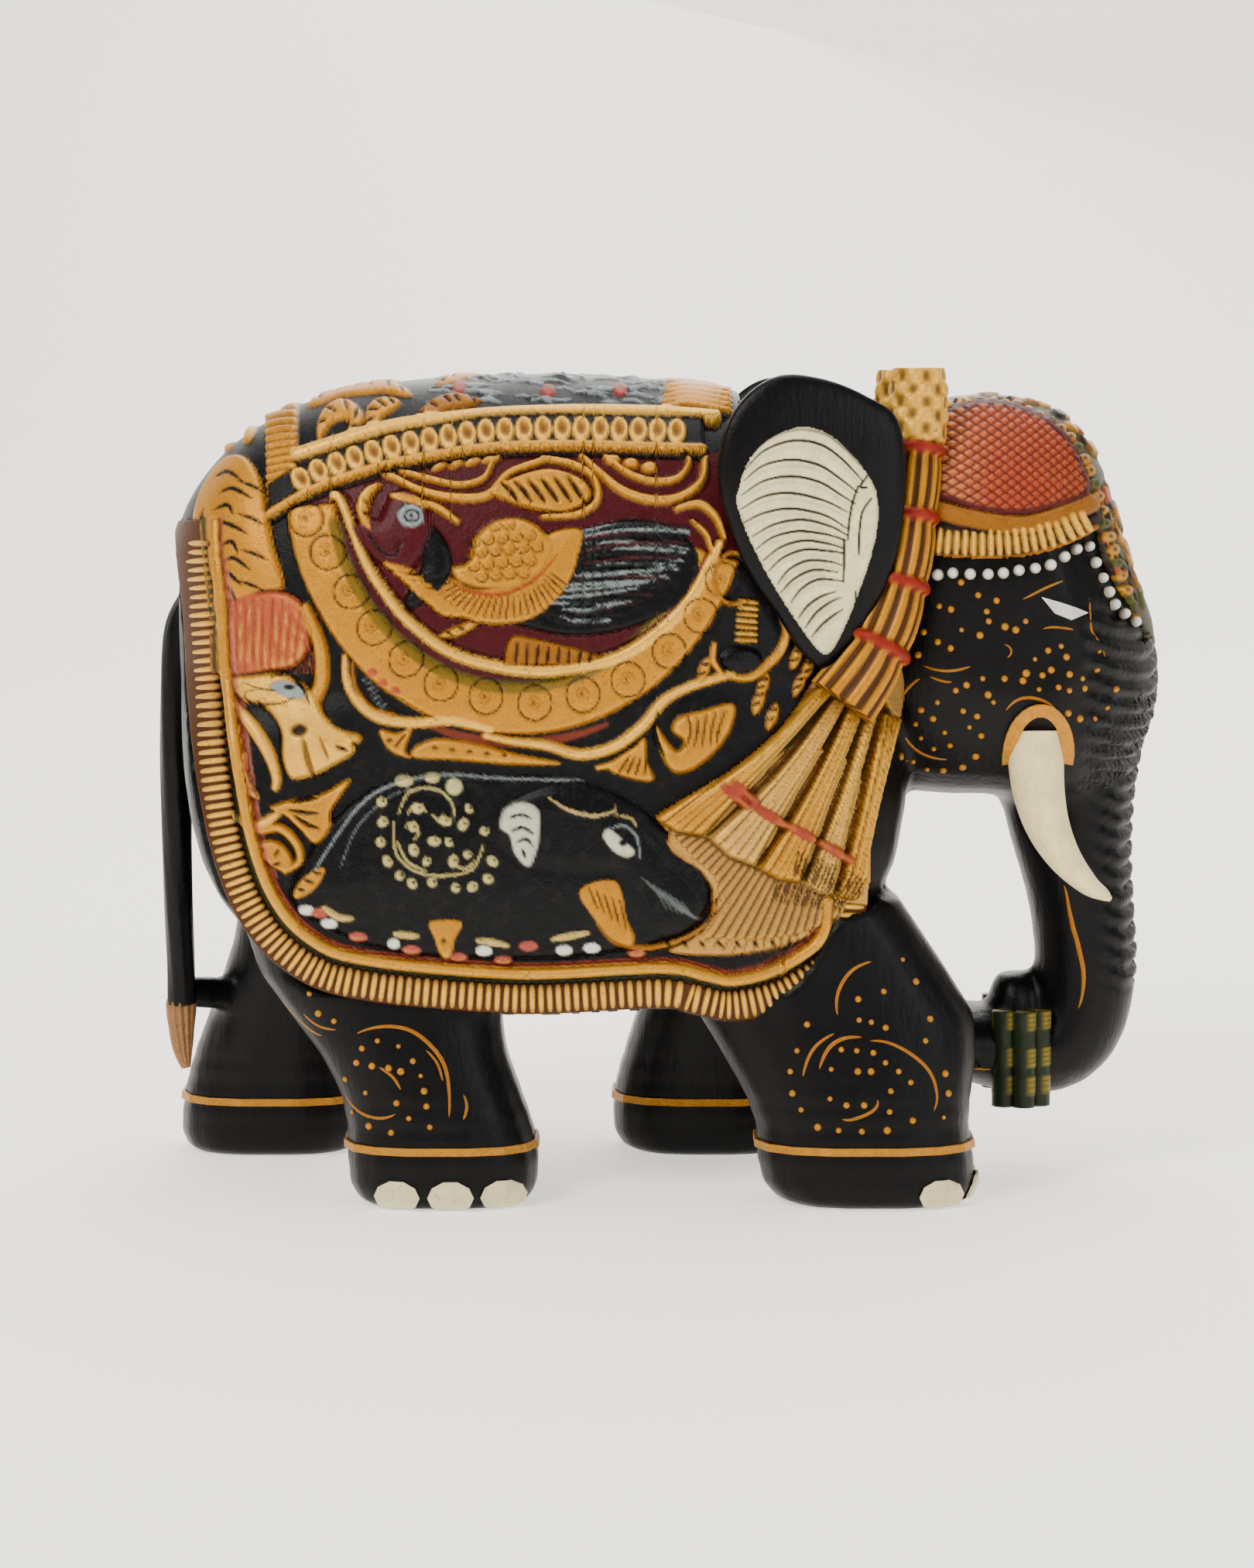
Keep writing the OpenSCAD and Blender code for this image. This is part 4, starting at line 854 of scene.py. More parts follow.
def carve_ground(board):
    """Marks along the rail under the small elephant, and the leaf behind it."""
    leaf_shape(board, [[-65.4, 57.4], [-62.8, 59.8], [-60, 62.6]], 2.6, 2.7, GOLD, 3)
    for x, z, turn in [(-63.2, 55, -35), (-59.2, 52.6, -30), (-47.6, 49, 60), (-31.4, 47.7, 10),
            (-17, 47.8, 20), (-12, 48.2, -20)]:
        board.plate(arc(x, z, 1.5 if abs(turn) < 40 else 1.1, 0.95, 0, 340, 10), 2.5, WHITE, edge=0.4)
    for x, z in [(-54, 50.2), (-44.4, 47.8), (-36, 46.4), (-23.4, 48.6), (-60.8, 54.6), (-4, 47.2),
            (-28, 45.9)]:
        board.plate(arc(x, z, 1.7, 0.9, 0, 340, 10), 2.3, (0.38, 0.07, 0.05), edge=0.5)
    vase = [[-41, 53], [-35.4, 53], [-36.6, 50], [-37.4, 46.6], [-39, 46.6], [-40.2, 50]]
    board.plate(bend(vase, 3, True), 2.9, GOLD, edge=0.6)
    board.scoop(-38.6, 49.6, 0.7, 0.7, 0.5, DARK_BROWN)
    for line in ([[-60, 55.6], [-57.4, 53.8], [-55, 53.6]], [[-47.4, 50.8], [-45.6, 50.6], [-43.4, 50.4]],
            [[-32.6, 49.6], [-30, 49.3], [-27.2, 48.7]], [[-19, 49.8], [-16, 50.4], [-12.8, 51]]):
        board.cord(bend(line, 5), 1.2, 2.8, (0.5, 0.38, 0.12), 0.4)


def carve_corner(board):
    """Brown gold cloth that fans out under the tassel."""
    cloth = bend([[2, 69], [7.6, 62], [9.8, 57.6], [9.4, 53], [6, 50.2], [2, 47.4], [12, 46.8], [22, 48.4],
        [30, 51.6], [37, 52], [37, 78], [22, 84]], 5, True)
    board.plate(cloth, 1.9, (0.50, 0.26, 0.055), edge=0.6, piece="corner_cloth_right")
    for k in range(19):
        a = math.radians(232 + 4.6 * k)
        root = np.array([20 + 4 * math.cos(a), 70 + 4 * math.sin(a)])
        tip = np.array([18.6 + 21.4 * math.cos(a), 68 + 21.4 * math.sin(a)])
        board.cut(bend([root, (root + tip) / 2 + [0.6, 0], tip], 6), 0.5, 0.4, BROWN, 0.85)
    for k in range(9):
        x = 1.6 + 3.1 * k
        board.scoop(x, 48.9 + 0.02 * (k - 3) ** 2, 1.0, 0.42, 0.55, DARK_BROWN, 1, -50)
    for k in range(8):
        x = 9.4 + 2.9 * k
        board.scoop(x, 50.8 + 0.08 * k, 1.2, 0.36, 0.5, DARK_BROWN, 1, -58)


def carve_border(board):
    """Rail and the ground of the fringe along the hem."""
    outer = HEM
    strip = np.vstack([outer, offset(outer, FRINGE_WIDTH)[::-1]])
    board.plate(strip, 1.5, BROWN, edge=0.4, piece="fringe_right")
    rail = np.vstack([offset(outer, 6.5), offset(outer, 8.7)[::-1]])
    board.plate(rail, 1.6, DEEP_GOLD, edge=0.3, piece="hem_rail_right")
    board.cord(RAIL, 2.1, 2.7, GOLD, rough=0.33)
    board.cut(offset(HEM, 9.0), 0.7, 0.3, (0.30, 0.05, 0.03), 0.9, taper=0.0)
    board.cut(offset(HEM, 6.0), 1.1, 0.35, (0.03, 0.035, 0.012), 0.95, taper=0.0)
    board.stroke(offset(HEM[10:60], 9.6), 0.7, (0.36, 0.12, 0.09), 0.8, lift=0.0)


def carve_dress():
    """The whole relief of the right side."""
    board = Panel(-98, 46, 28, 162, 0.2, BLACK, GROUND_HEIGHT, "blanket")
    board.rough[:] = 0.34
    carve_crescent(board)
    carve_bird(board)
    carve_back(board)
    carve_band(board)
    carve_small_elephant(board)
    carve_lion(board)
    carve_leaves(board)
    carve_ground(board)
    carve_corner(board)
    carve_border(board)
    # painted shade in the hollows and painted highlight on the ridges
    board.shade_hollows_light_ridges()
    outline = np.vstack([HEM, FRONT_EDGE, [[-92, 158], [-92, 124]]])
    deep = board.depth(np.s_[:, :], outline)
    near = board.away(np.s_[:, :], HEM)[0] < 3
    fall = smooth((0.45 - deep) / 1.0) * near
    board.height = board.height * (1 - fall) - 1.5 * fall
    board.piece = np.where((deep > 0) | (near & (deep > -0.9)), board.piece, -1)
    board.piece = np.where(near & (deep <= 0) & (deep > -0.9), board.part("fringe_right"), board.piece)
    return board


# ---- head, ear and tassel boards --------------------------------------------------------------------
CAP_RIM = [[46, 141], [50, 142.6], [56, 144.6], [62, 145.2], [68, 143.6], [73, 140.6], [76.6, 135.6],
    [78.6, 129.4], [74, 126.6], [67, 124.9], [60, 125.4], [53, 127.4], [46, 129]]
HEAD_PLANE = -15


def carve_head():
    """Cap, its borders, and the strip down the forehead."""
    board = Panel(36, 100, 98, 162, 0.2, (0.05, 0.045, 0.02), 0.5, "forehead_strip")
    rng = np.random.default_rng(6)
    strip_tones = [DEEP_GOLD, MOSS, GOLD, BLACK, ROSE, DEEP_GOLD, DARK_BROWN, GOLD]
    path = bend([[52, 146.6], [62, 147.2], [70, 145.6], [77, 141.4], [81.4, 134], [84, 125], [87, 116],
        [90, 107]], 30)
    for k in range(150):
        i = int(rng.uniform(0, len(path) - 14))
        away = rng.uniform(-5.4, 2.2)
        line = offset(path, 0)[i:i + 12] + [away * 0.7, away]
        board.cord(line[:: 3], rng.uniform(0.5, 1.1), 1.0 + rng.uniform(0, 0.25), strip_tones[k % 8], 0.6)
    for k in range(26):
        i = int((k + 0.5) / 26 * (len(path) - 2))
        x, z = path[i] + [-2.4, -2.2]
        board.plate(arc(x, z, 1.15, 1.0, 0, 340, 10), 1.35, GOLD if k % 3 else MOSS, edge=0.4)
        board.blob(x, z, 0.4, 0.4, BLACK, 0.0)
    bare = bend([[36, 124], [50, 118], [60, 117], [70, 117.8], [77, 120.6], [80.4, 122.6], [81.8, 117],
        [84.6, 111.6], [88.4, 105.4], [90, 96], [36, 96]], 4)
    spot = board.window(bare, 1)
    board.piece[spot] = np.where(board.depth(spot, bare) > 0, -1, board.piece[spot])
    fringe = bend([[44, 127.6], [52, 126.4], [60, 124.4], [67, 123.7], [74, 125.4], [79, 128.4],
        [80.6, 123], [74, 119.2], [66, 117.3], [58, 117], [50, 117.8], [44, 119.4]], 5, True)
    board.plate(fringe, 1.2, DARK_BROWN, edge=0.5, piece="cap_fringe_right")
    tan = bend([[44, 126.9], [50, 126.2], [57, 124.4], [66, 123.1], [72, 124.2], [78.6, 127]], 8)
    board.cord(tan, 3.4, 1.75, DEEP_GOLD, rough=0.45)
    board.cut(offset(tan, -1.95), 0.6, 0.35, BLACK, taper=0)
    board.cord(bend([[44, 118.4], [52, 117.4], [60, 117], [67, 117.4], [74, 119.4], [79.6, 122.6]], 8), 1.0,
        1.6, DEEP_GOLD)
    flutes = bend([[45, 121.2], [52, 120.1], [60, 119.7], [67, 120.2], [73, 121.6], [78.4, 124.2]], 8)
    spots, ways = stations(flutes, 1.55)
    for k, (spot, way) in enumerate(zip(spots, ways)):
        up = np.array([-way[1], way[0]])
        board.cord([spot - up * 1.75, spot + up * 0.2, spot + up * (1.75 + 0.2 * math.sin(2 * k))], 1.15,
            2.05, PALE_GOLD, 0.2)
    cap = bend(CAP_RIM, 6, True)
    spot, deep = board.plate(cap, 1.35, (0.20, 0.014, 0.006), edge=0.7, crown=0.35, bulge=8,
        piece="cap_right", rough=0.42)
    x = board.x[spot]
    z = board.z[spot]
    dx = x - 50
    dz = z - 112
    first = (dz * 0.86 + dx * 0.36 + 0.010 * dx * dx) / 1.42
    second = (dx * 0.50 - dz * 0.84 + 0.006 * (dx - 8) ** 2) / 1.42
    pattern = np.minimum(np.abs(np.sin(np.pi * first)), np.abs(np.sin(np.pi * second)))
    lattice = smooth((pattern - 0.22) / 0.35) * (deep > 0.9)
    board.height[spot] += 0.42 * lattice - 0.2 * (deep > 0.9)
    # Share of painted highlight on the lattice: stronger towards the back of the cap, with a wavy variation.
    tone = 0.5 + 0.5 * np.sin(0.21 * x + 0.4 * np.sin(0.3 * z)) * np.cos(0.17 * z)
    fade = smooth((62 - x) / 16 + 0.15) * 0.75 + 0.25 * tone
    board.dye(spot, lattice * 0.9, (0.40, 0.050, 0.016))
    # Painted highlight: orange laid over the red lattice.
    board.dye(spot, lattice * fade * 0.62, (0.66, 0.30, 0.10))
    board.dye(spot, (1 - lattice) * (deep > 0.6) * 0.8, (0.10, 0.012, 0.008))
    board.dye(spot, smooth((deep > 0) * (1.5 - deep) / 0.9), (0.075, 0.009, 0.008), 0.35)
    # painted shade in the hollows and painted highlight on the ridges
    board.shade_hollows_light_ridges(0.9, 0.9)
    return board


EAR_LINE = [[10.6, 130], [11, 139], [14.5, 146], [21, 150.4], [29, 150], [37, 147], [43, 142.5],
    [44.5, 132], [43, 119], [38.5, 108], [31, 98.6], [26, 100.5], [21, 108], [15, 117]]
EAR_SEAT = np.array([27.0, 33.6, 124.0])
EAR_LEAN = math.radians(-9)
LINING = [[14.3, 126.6], [14.6, 131], [16.4, 135.6], [19.4, 138.9], [23, 140.8], [27, 141.4], [31, 140],
    [34.4, 137.2], [37.6, 133.4], [39.6, 129.4], [39.9, 124], [38.6, 117.6], [36.4, 111], [34, 105],
    [31.6, 100.6], [29.4, 100.4], [26.4, 104], [22, 110.6], [17.6, 118.4]]


def ear_face(x, z):
    """Distance from the middle plane to the ear's outer face, its lean included."""
    local = EAR.side(x, z)
    return EAR_SEAT[1] + (x - EAR_SEAT[0]) * math.tan(EAR_LEAN) + local / math.cos(EAR_LEAN)


EAR = Pillow(EAR_LINE, (27, 124), lambda x, z: 2.8 + 0 * x, lambda rise: 3.2 + 0 * rise)


class Leaned:
    """The ear's outer face, as a form to draw on."""

    def side(self, x, z):
        return ear_face(x, z)


def carve_lining():
    """Cream lining with its arched black veins."""
    board = Panel(10, 44, 96, 145, 0.16, CREAM, 0.0, "ear_lining_right")
    line = bend(LINING, 6, True)
    deep = board.depth(np.s_[:, :], line)
    board.height[:] = 0.75 * smooth(deep / 1.0 + 0.1) + 0.15 * smooth(deep / 6)
    board.rough[:] = 0.5
    board.piece = np.where(deep > 0, 0, -1)
    tone = 0.5 + 0.5 * np.sin(board.x * 0.5 + 2 * np.sin(board.z * 0.3))
    board.dye(np.s_[:, :], 0.3 * tone, (0.62, 0.55, 0.34))
    veins = [[[15.6, 133.6], [19, 137], [24, 138.8], [29, 138.2], [33, 135.6], [37, 131.4]],
        [[15.4, 131.6], [19, 134.4], [24, 135.4], [29, 134.4], [33, 131.8], [36, 129.4]],
        [[15, 129], [19, 131.6], [24, 132.4], [29, 131.4], [33, 129], [35.6, 127.4]],
        [[14.8, 126.4], [19, 128.8], [24, 129.4], [30, 128], [34, 126]],
        [[15, 123.8], [19, 125.8], [24, 126.6], [30, 125.4], [34, 123]],
        [[17, 121.6], [21, 123.8], [26, 124.6], [31, 123.4], [34, 121.8]],
        [[17.6, 119.2], [20.6, 121.4], [25, 122.5], [30, 122], [34, 120.8]],
        [[19, 117.2], [22, 119.6], [26, 120.8], [30, 120.4], [33.6, 119.4]],
        [[20, 115.4], [22.6, 117.8], [26.4, 119.2], [30, 119], [33.4, 118.6]],
        [[21.6, 113], [23.6, 115.6], [27, 117.2], [31, 117], [33, 116.4]],
        [[22.2, 111.4], [24.4, 113.8], [28, 115.5], [32.4, 115.1]], [[24, 109.6], [26, 112.2], [29, 113.8],
        [33.2, 113.5]], [[25.4, 106.8], [27, 109], [29.4, 110.7], [32, 111.6]],
        [[26.6, 105], [28.4, 107.6], [30.6, 109.4], [33, 110.6]],
        [[27.8, 103.4], [29.6, 105.6], [31.8, 107.4], [33.4, 108.4]]]
    for k, vein in enumerate(veins):
        line = bend(vein, 8)
        board.cut(line, 0.62, 0.28, BLACK, 1.0, taper=0.55)
        # Painted shade: a faint darker line just below each vein.
        board.cut(line + [0, -1.0], 0.9, 0.1, (0.30, 0.25, 0.13), 0.28, taper=0.7)
    for line in ([[36, 130.6], [35, 127.6], [34.4, 124], [34.2, 121]],
            [[38.4, 128.4], [36.8, 126], [36.3, 122.4], [36.2, 118.4]],
            [[37.8, 132.6], [36.4, 130.6], [37.6, 130.4]], [[33.5, 121], [33.5, 117], [33.4, 113.4]],
            [[35.6, 111.6], [35.9, 110]]):
        board.cut(bend(line, 6), 0.55, 0.25, BLACK, 1.0, taper=0.2)
    top = bend([[16.6, 136], [20, 139.2], [25, 140.8], [30, 140], [34, 137], [37.2, 133.6]], 8)
    board.cut(top, 0.7, 0.2, (0.2, 0.18, 0.13), 0.8, taper=0.6)
    board.dye(np.s_[:, :], smooth(1 - deep / 0.55) * 0.45, (0.25, 0.21, 0.12))
    return board


FAN_LINE = [[27.6, 96.4], [24, 91], [20, 86.6], [14, 81.6], [8, 77.6], [2.6, 74.4], [-0.8, 71.8],
    [2.4, 67.6], [6, 63.6], [9.4, 60.4], [9.8, 56], [8.6, 52], [5.4, 50], [12, 49.2], [20, 49.4], [27, 51],
    [33, 54.4], [36.4, 59], [37.4, 66], [39.6, 77], [41.8, 86], [43.4, 92], [43, 100], [36, 104]]


def carve_fan():
    """Spread strands of the tassel: five bundles with red ties, and the short layer under them."""
    board = Panel(-4, 48, 46, 106, 0.2, (0.42, 0.22, 0.05), 2.2, "tassel_right")
    line = bend(FAN_LINE, 5, True)
    deep = board.depth(np.s_[:, :], line)
    board.piece = np.where(deep > 0, 0, -1)
    root = np.array([37.5, 95.0])
    rays = [[(28.8, 95.6), (-1.6, 72)], [(30.6, 93), (8.4, 68.4)], [(33.2, 92), (17, 62.8)],
        [(36, 90.8), (25, 60)], [(38.2, 89.8), (30.6, 57.6)], [(42.8, 88.6), (37.4, 57)]]
    board.height[:] = 2.1 + 0.35 * smooth(deep / 1.5)
    for k in range(46):
        a = math.radians(214 + 1.85 * k)
        tip = root + 62 * np.array([math.cos(a), math.sin(a)])
        board.cut([root, (root + tip) / 2, tip], 0.62, 0.5, BROWN, 0.8, taper=0.1)
    for k in range(5):
        (a0, a1), (b0, b1) = rays[k], rays[k + 1]
        a0, a1, b0, b1 = (np.array(p, float) for p in (a0, a1, b0, b1))
        left = bend([a0, (a0 + a1) / 2 + [0.4, -0.9], a1], 8)
        right_ = bend([b0, (b0 + b1) / 2 + [-0.3, 0.3], b1], 8)
        gap = (right_[-1] - left[-1])
        end = left[-1] + gap * 0.5 + np.array([-gap[1], gap[0]]) * -0.10
        shape = np.vstack([left, [end], right_[::-1]])
        lift = [4.5, 4.3, 4.2, 4.1, 3.9][k]
        board.plate(shape, lift, GOLD if k % 2 == 0 else (0.58, 0.33, 0.08), edge=1.0, crown=0.5, bulge=2.6,
            base=1.7)
        for j in range(6):
            share = (j + 0.5) / 6
            strand = left * (1 - share) + right_ * share
            board.cut(strand, 0.5, 0.42 if j % 2 else 0.3, BROWN, 0.85, taper=0.2)
        for j in range(4):
            share = (j + 1) / 5
            strand = (left * (1 - share) + right_ * share)[2 * j % 3:]
            board.stroke(strand, 0.45, PALE_GOLD, 0.75, lift=0.15, taper=0.6)
        board.cut(right_, 1.0, 1.1, (0.03, 0.03, 0.01), 0.95, taper=0.1)
        board.stroke(right_ + [-0.9, 0.3], 0.9, MOSS, 0.35, lift=0.0)
    for line_ in ([[11.2, 77.6], [15.2, 74]], [[13, 78], [16.6, 74.8]], [[16.4, 74], [21.4, 70.6]],
            [[17.2, 73.2], [21.6, 70.8]], [[22.4, 70.4], [26.6, 68]], [[28, 67.4], [33.2, 64.2]]):
        board.cord(line_, 1.9, 5.1, (0.28, 0.035, 0.02), taper=0.25, rough=0.5)
    for k in range(20):
        x = 24 + 0.75 * k
        board.cut([[x, 66 - 0.3 * k], [x - 0.9 - 0.12 * k, 61.5 - 0.3 * k]], 0.55, 0.55, DARK_BROWN, 0.9)
        board.cut([[x - 3, 60.6 - 0.2 * k], [x - 4.2, 56.6 - 0.1 * k]], 0.55, 0.5, DARK_BROWN, 0.9)
    fall = smooth(deep / 0.9)
    board.height = 0.9 + (board.height - 0.9) * (0.25 + 0.75 * fall)
    # painted shade in the hollows and painted highlight on the ridges
    board.shade_hollows_light_ridges(1.0, 0.9)
    return board


# ---- shells, limbs and ribbons ---------------------------------------------------------------------
RUMP_FOLD = -80


def quads_of(shape):
    """Faces of a grid laid along x and downwards, facing out on the right side."""
    i, j = np.meshgrid(np.arange(shape[0] - 1), np.arange(shape[1] - 1), indexing="ij")
    a = (i * shape[1] + j).ravel()
    return np.stack([a, a + 1, a + shape[1] + 1, a + shape[1]], 1)


def shells(board, grid, u, v, depth, middle=None):
    """Raises the board's relief on a grid of points and splits it into one shell for each carved piece."""
    normals = outward(grid)
    # On the narrow end over the rump the grid folds, so its normals there are turned to face backwards.
    folded = (grid[..., 0] < RUMP_FOLD) & (normals[..., 0] > 0)
    normals[folded] *= -1
    rise, paint, rough, label = board.sample(u, v)
    points = grid + normals * rise[..., None]
    if middle:
        points[:, 0, 1] = 0
    if middle == "both":
        points[0, :, 1] = 0
    flat = points.reshape(-1, 3)
    flat[:, 1] = np.minimum(flat[:, 1], 0)
    quads = quads_of(label.shape)
    names = label.ravel()[quads]
    inside = (names >= 0).all(1)
    owner = np.median(names, axis=1).astype(int)
    out = {}
    for k, name in enumerate(board.names):
        mine = quads[inside & (owner == k)]
        if len(mine) > 8:
            out[name] = patch(flat, mine, normals.reshape(-1, 3), depth, paint.reshape(-1, 3), rough.ravel())
    return out


def both_sides(parts, tag):
    """Makes each shell on the right, and its mirror image on the left."""
    for name, (verts, faces, shade, gloss) in parts.items():
        for side in (RIGHT, LEFT):
            node = name.replace("right", SIDE_NAMES[side])
            title = f"{node}_{tag}" if "right" in name else f"{node}_{SIDE_NAMES[side]}_{tag}"
            points = verts if side == RIGHT else verts * [1, -1, 1]
            order = faces if side == RIGHT else faces[:, ::-1]
            obj = new_object(title, points, order, shade, gloss)
            settle(obj, DRESS_SLOTS[name], node, material=finish_of("painted_relief"))


def limb(line, radius, side_radius, sides=36, up=(0, 1, 0), swell=None, paint=None):
    """A closed round form swept along a line. Swell changes its radius by angle and by distance along."""
    line = np.asarray(line, float)
    way = unit(np.gradient(line, axis=0))
    across = unit(np.cross(way, np.array(up, float)))
    upward = np.cross(way, across)
    turn = np.linspace(0, 2 * math.pi, sides, endpoint=False)
    run = run_of(line)
    scale = np.ones((len(line), sides)) if swell is None else swell(run[:, None], turn[None])
    ring = (across[:, None] * (np.cos(turn)[None] * radius[:, None] * scale)[..., None]
            + upward[:, None] * (np.sin(turn)[None] * side_radius[:, None] * scale)[..., None])
    verts = (line[:, None] + ring).reshape(-1, 3)
    n = len(line)
    i, j = np.meshgrid(np.arange(n - 1), np.arange(sides), indexing="ij")
    a = (i * sides + j).ravel()
    b = (i * sides + (j + 1) % sides).ravel()
    faces = np.stack([a, b, b + sides, a + sides], 1).tolist()
    verts = np.vstack([verts, line[:1], line[-1:]])
    for j in range(sides):
        faces.append([(j + 1) % sides, j, n * sides])
        faces.append([(n - 1) * sides + j, (n - 1) * sides + (j + 1) % sides, n * sides + 1])
    first = np.array([verts[k] for k in faces[len(faces) // 3][:3]])
    face_way = np.cross(first[1] - first[0], first[2] - first[0])
    ring_mid = line[min((len(faces) // 3) // sides, n - 1)]
    if np.dot(face_way, first.mean(0) - ring_mid) < 0:
        faces = [f[::-1] for f in faces]
    tone = None
    if paint is not None:
        around = paint(run[:, None] + 0 * turn[None], turn[None] + 0 * run[:, None]).reshape(-1, 3)
        ends = paint(np.array([[run[0]], [run[-1]]]), np.zeros((2, 1))).reshape(-1, 3)
        tone = np.vstack([around, ends])
    return verts, faces, tone


def mirrored(verts, faces):
    flipped = [list(f)[::-1] for f in faces]
    return np.asarray(verts) * [1, -1, 1], flipped


def body_tree():
    """The wooden body as a tree for casting rays on, in millimetres."""
    mesh = bpy.data.objects["body_carved"].data
    points = np.empty(len(mesh.vertices) * 3)
    mesh.vertices.foreach_get("co", points)
    verts = (points.reshape(-1, 3) / MM).tolist()
    return BVHTree.FromPolygons(verts, [list(p.vertices) for p in mesh.polygons])


def cast(tree, u, v, plane, side=RIGHT, shift=0.0):
    """Where a sight line through the drawing board meets the wood, with the wood's normal there."""
    if side == RIGHT:
        start = Vector(EYE_POINT)
        way = (Vector((u, plane, v)) - start).normalized()
    else:
        start = Vector((u + shift, 120.0, v))
        way = Vector((0, -1, 0))
    return tree.ray_cast(start, way)[:2]


def ribbon(tree, line, width, plane, side=RIGHT, shift=0.0, height=0.35, taper=0.5):
    """A raised stroke of paint on the wood."""
    spots = []
    run = run_of(line)
    count = max(int(run[-1] / 0.45), 4)
    at = np.linspace(0, run[-1], count)
    for u, v in zip(np.interp(at, run, line[:, 0]), np.interp(at, run, line[:, 1])):
        hit, normal = cast(tree, u, v, plane, side, shift)
        if hit is None:
            return None
        spots.append((np.array(hit), np.array(normal)))
    centre = np.array([p for p, _ in spots])
    normal = np.array([n for _, n in spots])
    for _ in range(3):
        normal[1:-1] = normal[:-2] + normal[1:-1] + normal[2:]
        normal = unit(normal)
        centre[1:-1] = 0.25 * centre[:-2] + 0.5 * centre[1:-1] + 0.25 * centre[2:]
    across = unit(np.cross(normal, unit(np.gradient(centre, axis=0))))
    t = np.linspace(-1, 1, count)
    half = width / 2 * np.clip(1 - np.abs(t) ** 3, 0.02, 1) * (1 - taper * t * t)
    angle = np.linspace(0, math.pi, 7)
    wide = np.cos(angle)[None] * half[:, None]
    high = height * np.sin(angle)[None] * np.minimum(1, half[:, None] * 3) - 0.25
    ring = centre[:, None] + across[:, None] * wide[..., None] + normal[:, None] * high[..., None]
    low = centre - normal * 0.9
    verts = np.concatenate([ring, low[:, None]], 1)
    sides = 8
    i, j = np.meshgrid(np.arange(count - 1), np.arange(sides), indexing="ij")
    a = (i * sides + j).ravel()
    b = (i * sides + (j + 1) % sides).ravel()
    faces = np.stack([a, b, b + sides, a + sides], 1)
    probe = verts.reshape(-1, 3)[faces[3]]
    if np.dot(np.cross(probe[1] - probe[0], probe[2] - probe[0]), normal[0]) < 0:
        faces = faces[:, ::-1]
    caps = [list(range(sides)), [(count - 1) * sides + k for k in range(sides)]]
    return verts.reshape(-1, 3), faces.tolist() + caps


def merge(pieces):
    """Several small meshes as one."""
    verts = []
    faces = []
    for piece in pieces:
        if piece is None:
            continue
        start = sum(len(v) for v in verts)
        verts.append(np.asarray(piece[0]))
        faces += [[k + start for k in face] for face in piece[1]]
    return np.vstack(verts), faces


# ---- one tree of Geometry Nodes for everything set along a line ---------------------------------------
def scatter_tree():
    """Sets copies of a small carved shape on points, each turned to lie on the wood."""
    tree = bpy.data.node_groups.new("set_in_rows", "GeometryNodeTree")
    face = tree.interface
    face.new_socket("Geometry", in_out="INPUT", socket_type="NodeSocketGeometry")
    face.new_socket("Shape", in_out="INPUT", socket_type="NodeSocketObject")
    for name, value in (("Length", 1.0), ("Width", 1.0), ("Height", 1.0), ("Jitter", 0.1)):
        face.new_socket(name, in_out="INPUT", socket_type="NodeSocketFloat").default_value = value
    face.new_socket("Seed", in_out="INPUT", socket_type="NodeSocketInt").default_value = 3
    face.new_socket("Paint", in_out="INPUT", socket_type="NodeSocketMaterial")
    face.new_socket("Geometry", in_out="OUTPUT", socket_type="NodeSocketGeometry")
    def add(kind, **settings):
        node = tree.nodes.new(kind)
        for name, value in settings.items():
            setattr(node, name, value)
        return node

    entry = add("NodeGroupInput")
    leave = add("NodeGroupOutput")
    shape = add("GeometryNodeObjectInfo")
    place = add("GeometryNodeInstanceOnPoints")
    turn = add("GeometryNodeInputNamedAttribute", data_type="FLOAT_VECTOR")
    turn.inputs["Name"].default_value = "turn"
    size = add("GeometryNodeInputNamedAttribute", data_type="FLOAT_VECTOR")
    size.inputs["Name"].default_value = "size"
    spin = add("FunctionNodeEulerToRotation")
    random = add("FunctionNodeRandomValue", data_type="FLOAT")
    low = add("ShaderNodeMath", operation="SUBTRACT")
    low.inputs[0].default_value = 1.0
    high = add("ShaderNodeMath", operation="ADD")
    high.inputs[0].default_value = 1.0
    scale = add("ShaderNodeCombineXYZ")
    grow = add("ShaderNodeVectorMath", operation="SCALE")
    share = add("ShaderNodeVectorMath", operation="MULTIPLY")
    real = add("GeometryNodeRealizeInstances")
    coat = add("GeometryNodeSetMaterial")
    for start, out, end, into in ((entry, "Shape", shape, "Object"), (entry, "Geometry", place, "Points"),
            (shape, "Geometry", place, "Instance"), (turn, "Attribute", spin, "Euler"),
            (spin, "Rotation", place, "Rotation"), (entry, "Jitter", low, 1), (entry, "Jitter", high, 1),
            (low, 0, random, 2), (high, 0, random, 3), (entry, "Seed", random, "Seed"),
            (entry, "Width", scale, "X"), (entry, "Length", scale, "Y"), (entry, "Height", scale, "Z"),
            (size, "Attribute", share, 0), (scale, 0, share, 1), (share, 0, grow, 0),
            (random, 1, grow, "Scale"), (grow, 0, place, "Scale"), (place, "Instances", real, 0),
            (real, 0, coat, "Geometry"), (entry, "Paint", coat, "Material"),
            (coat, "Geometry", leave, "Geometry")):
        tree.links.new(start.outputs[out], end.inputs[into])
    return tree


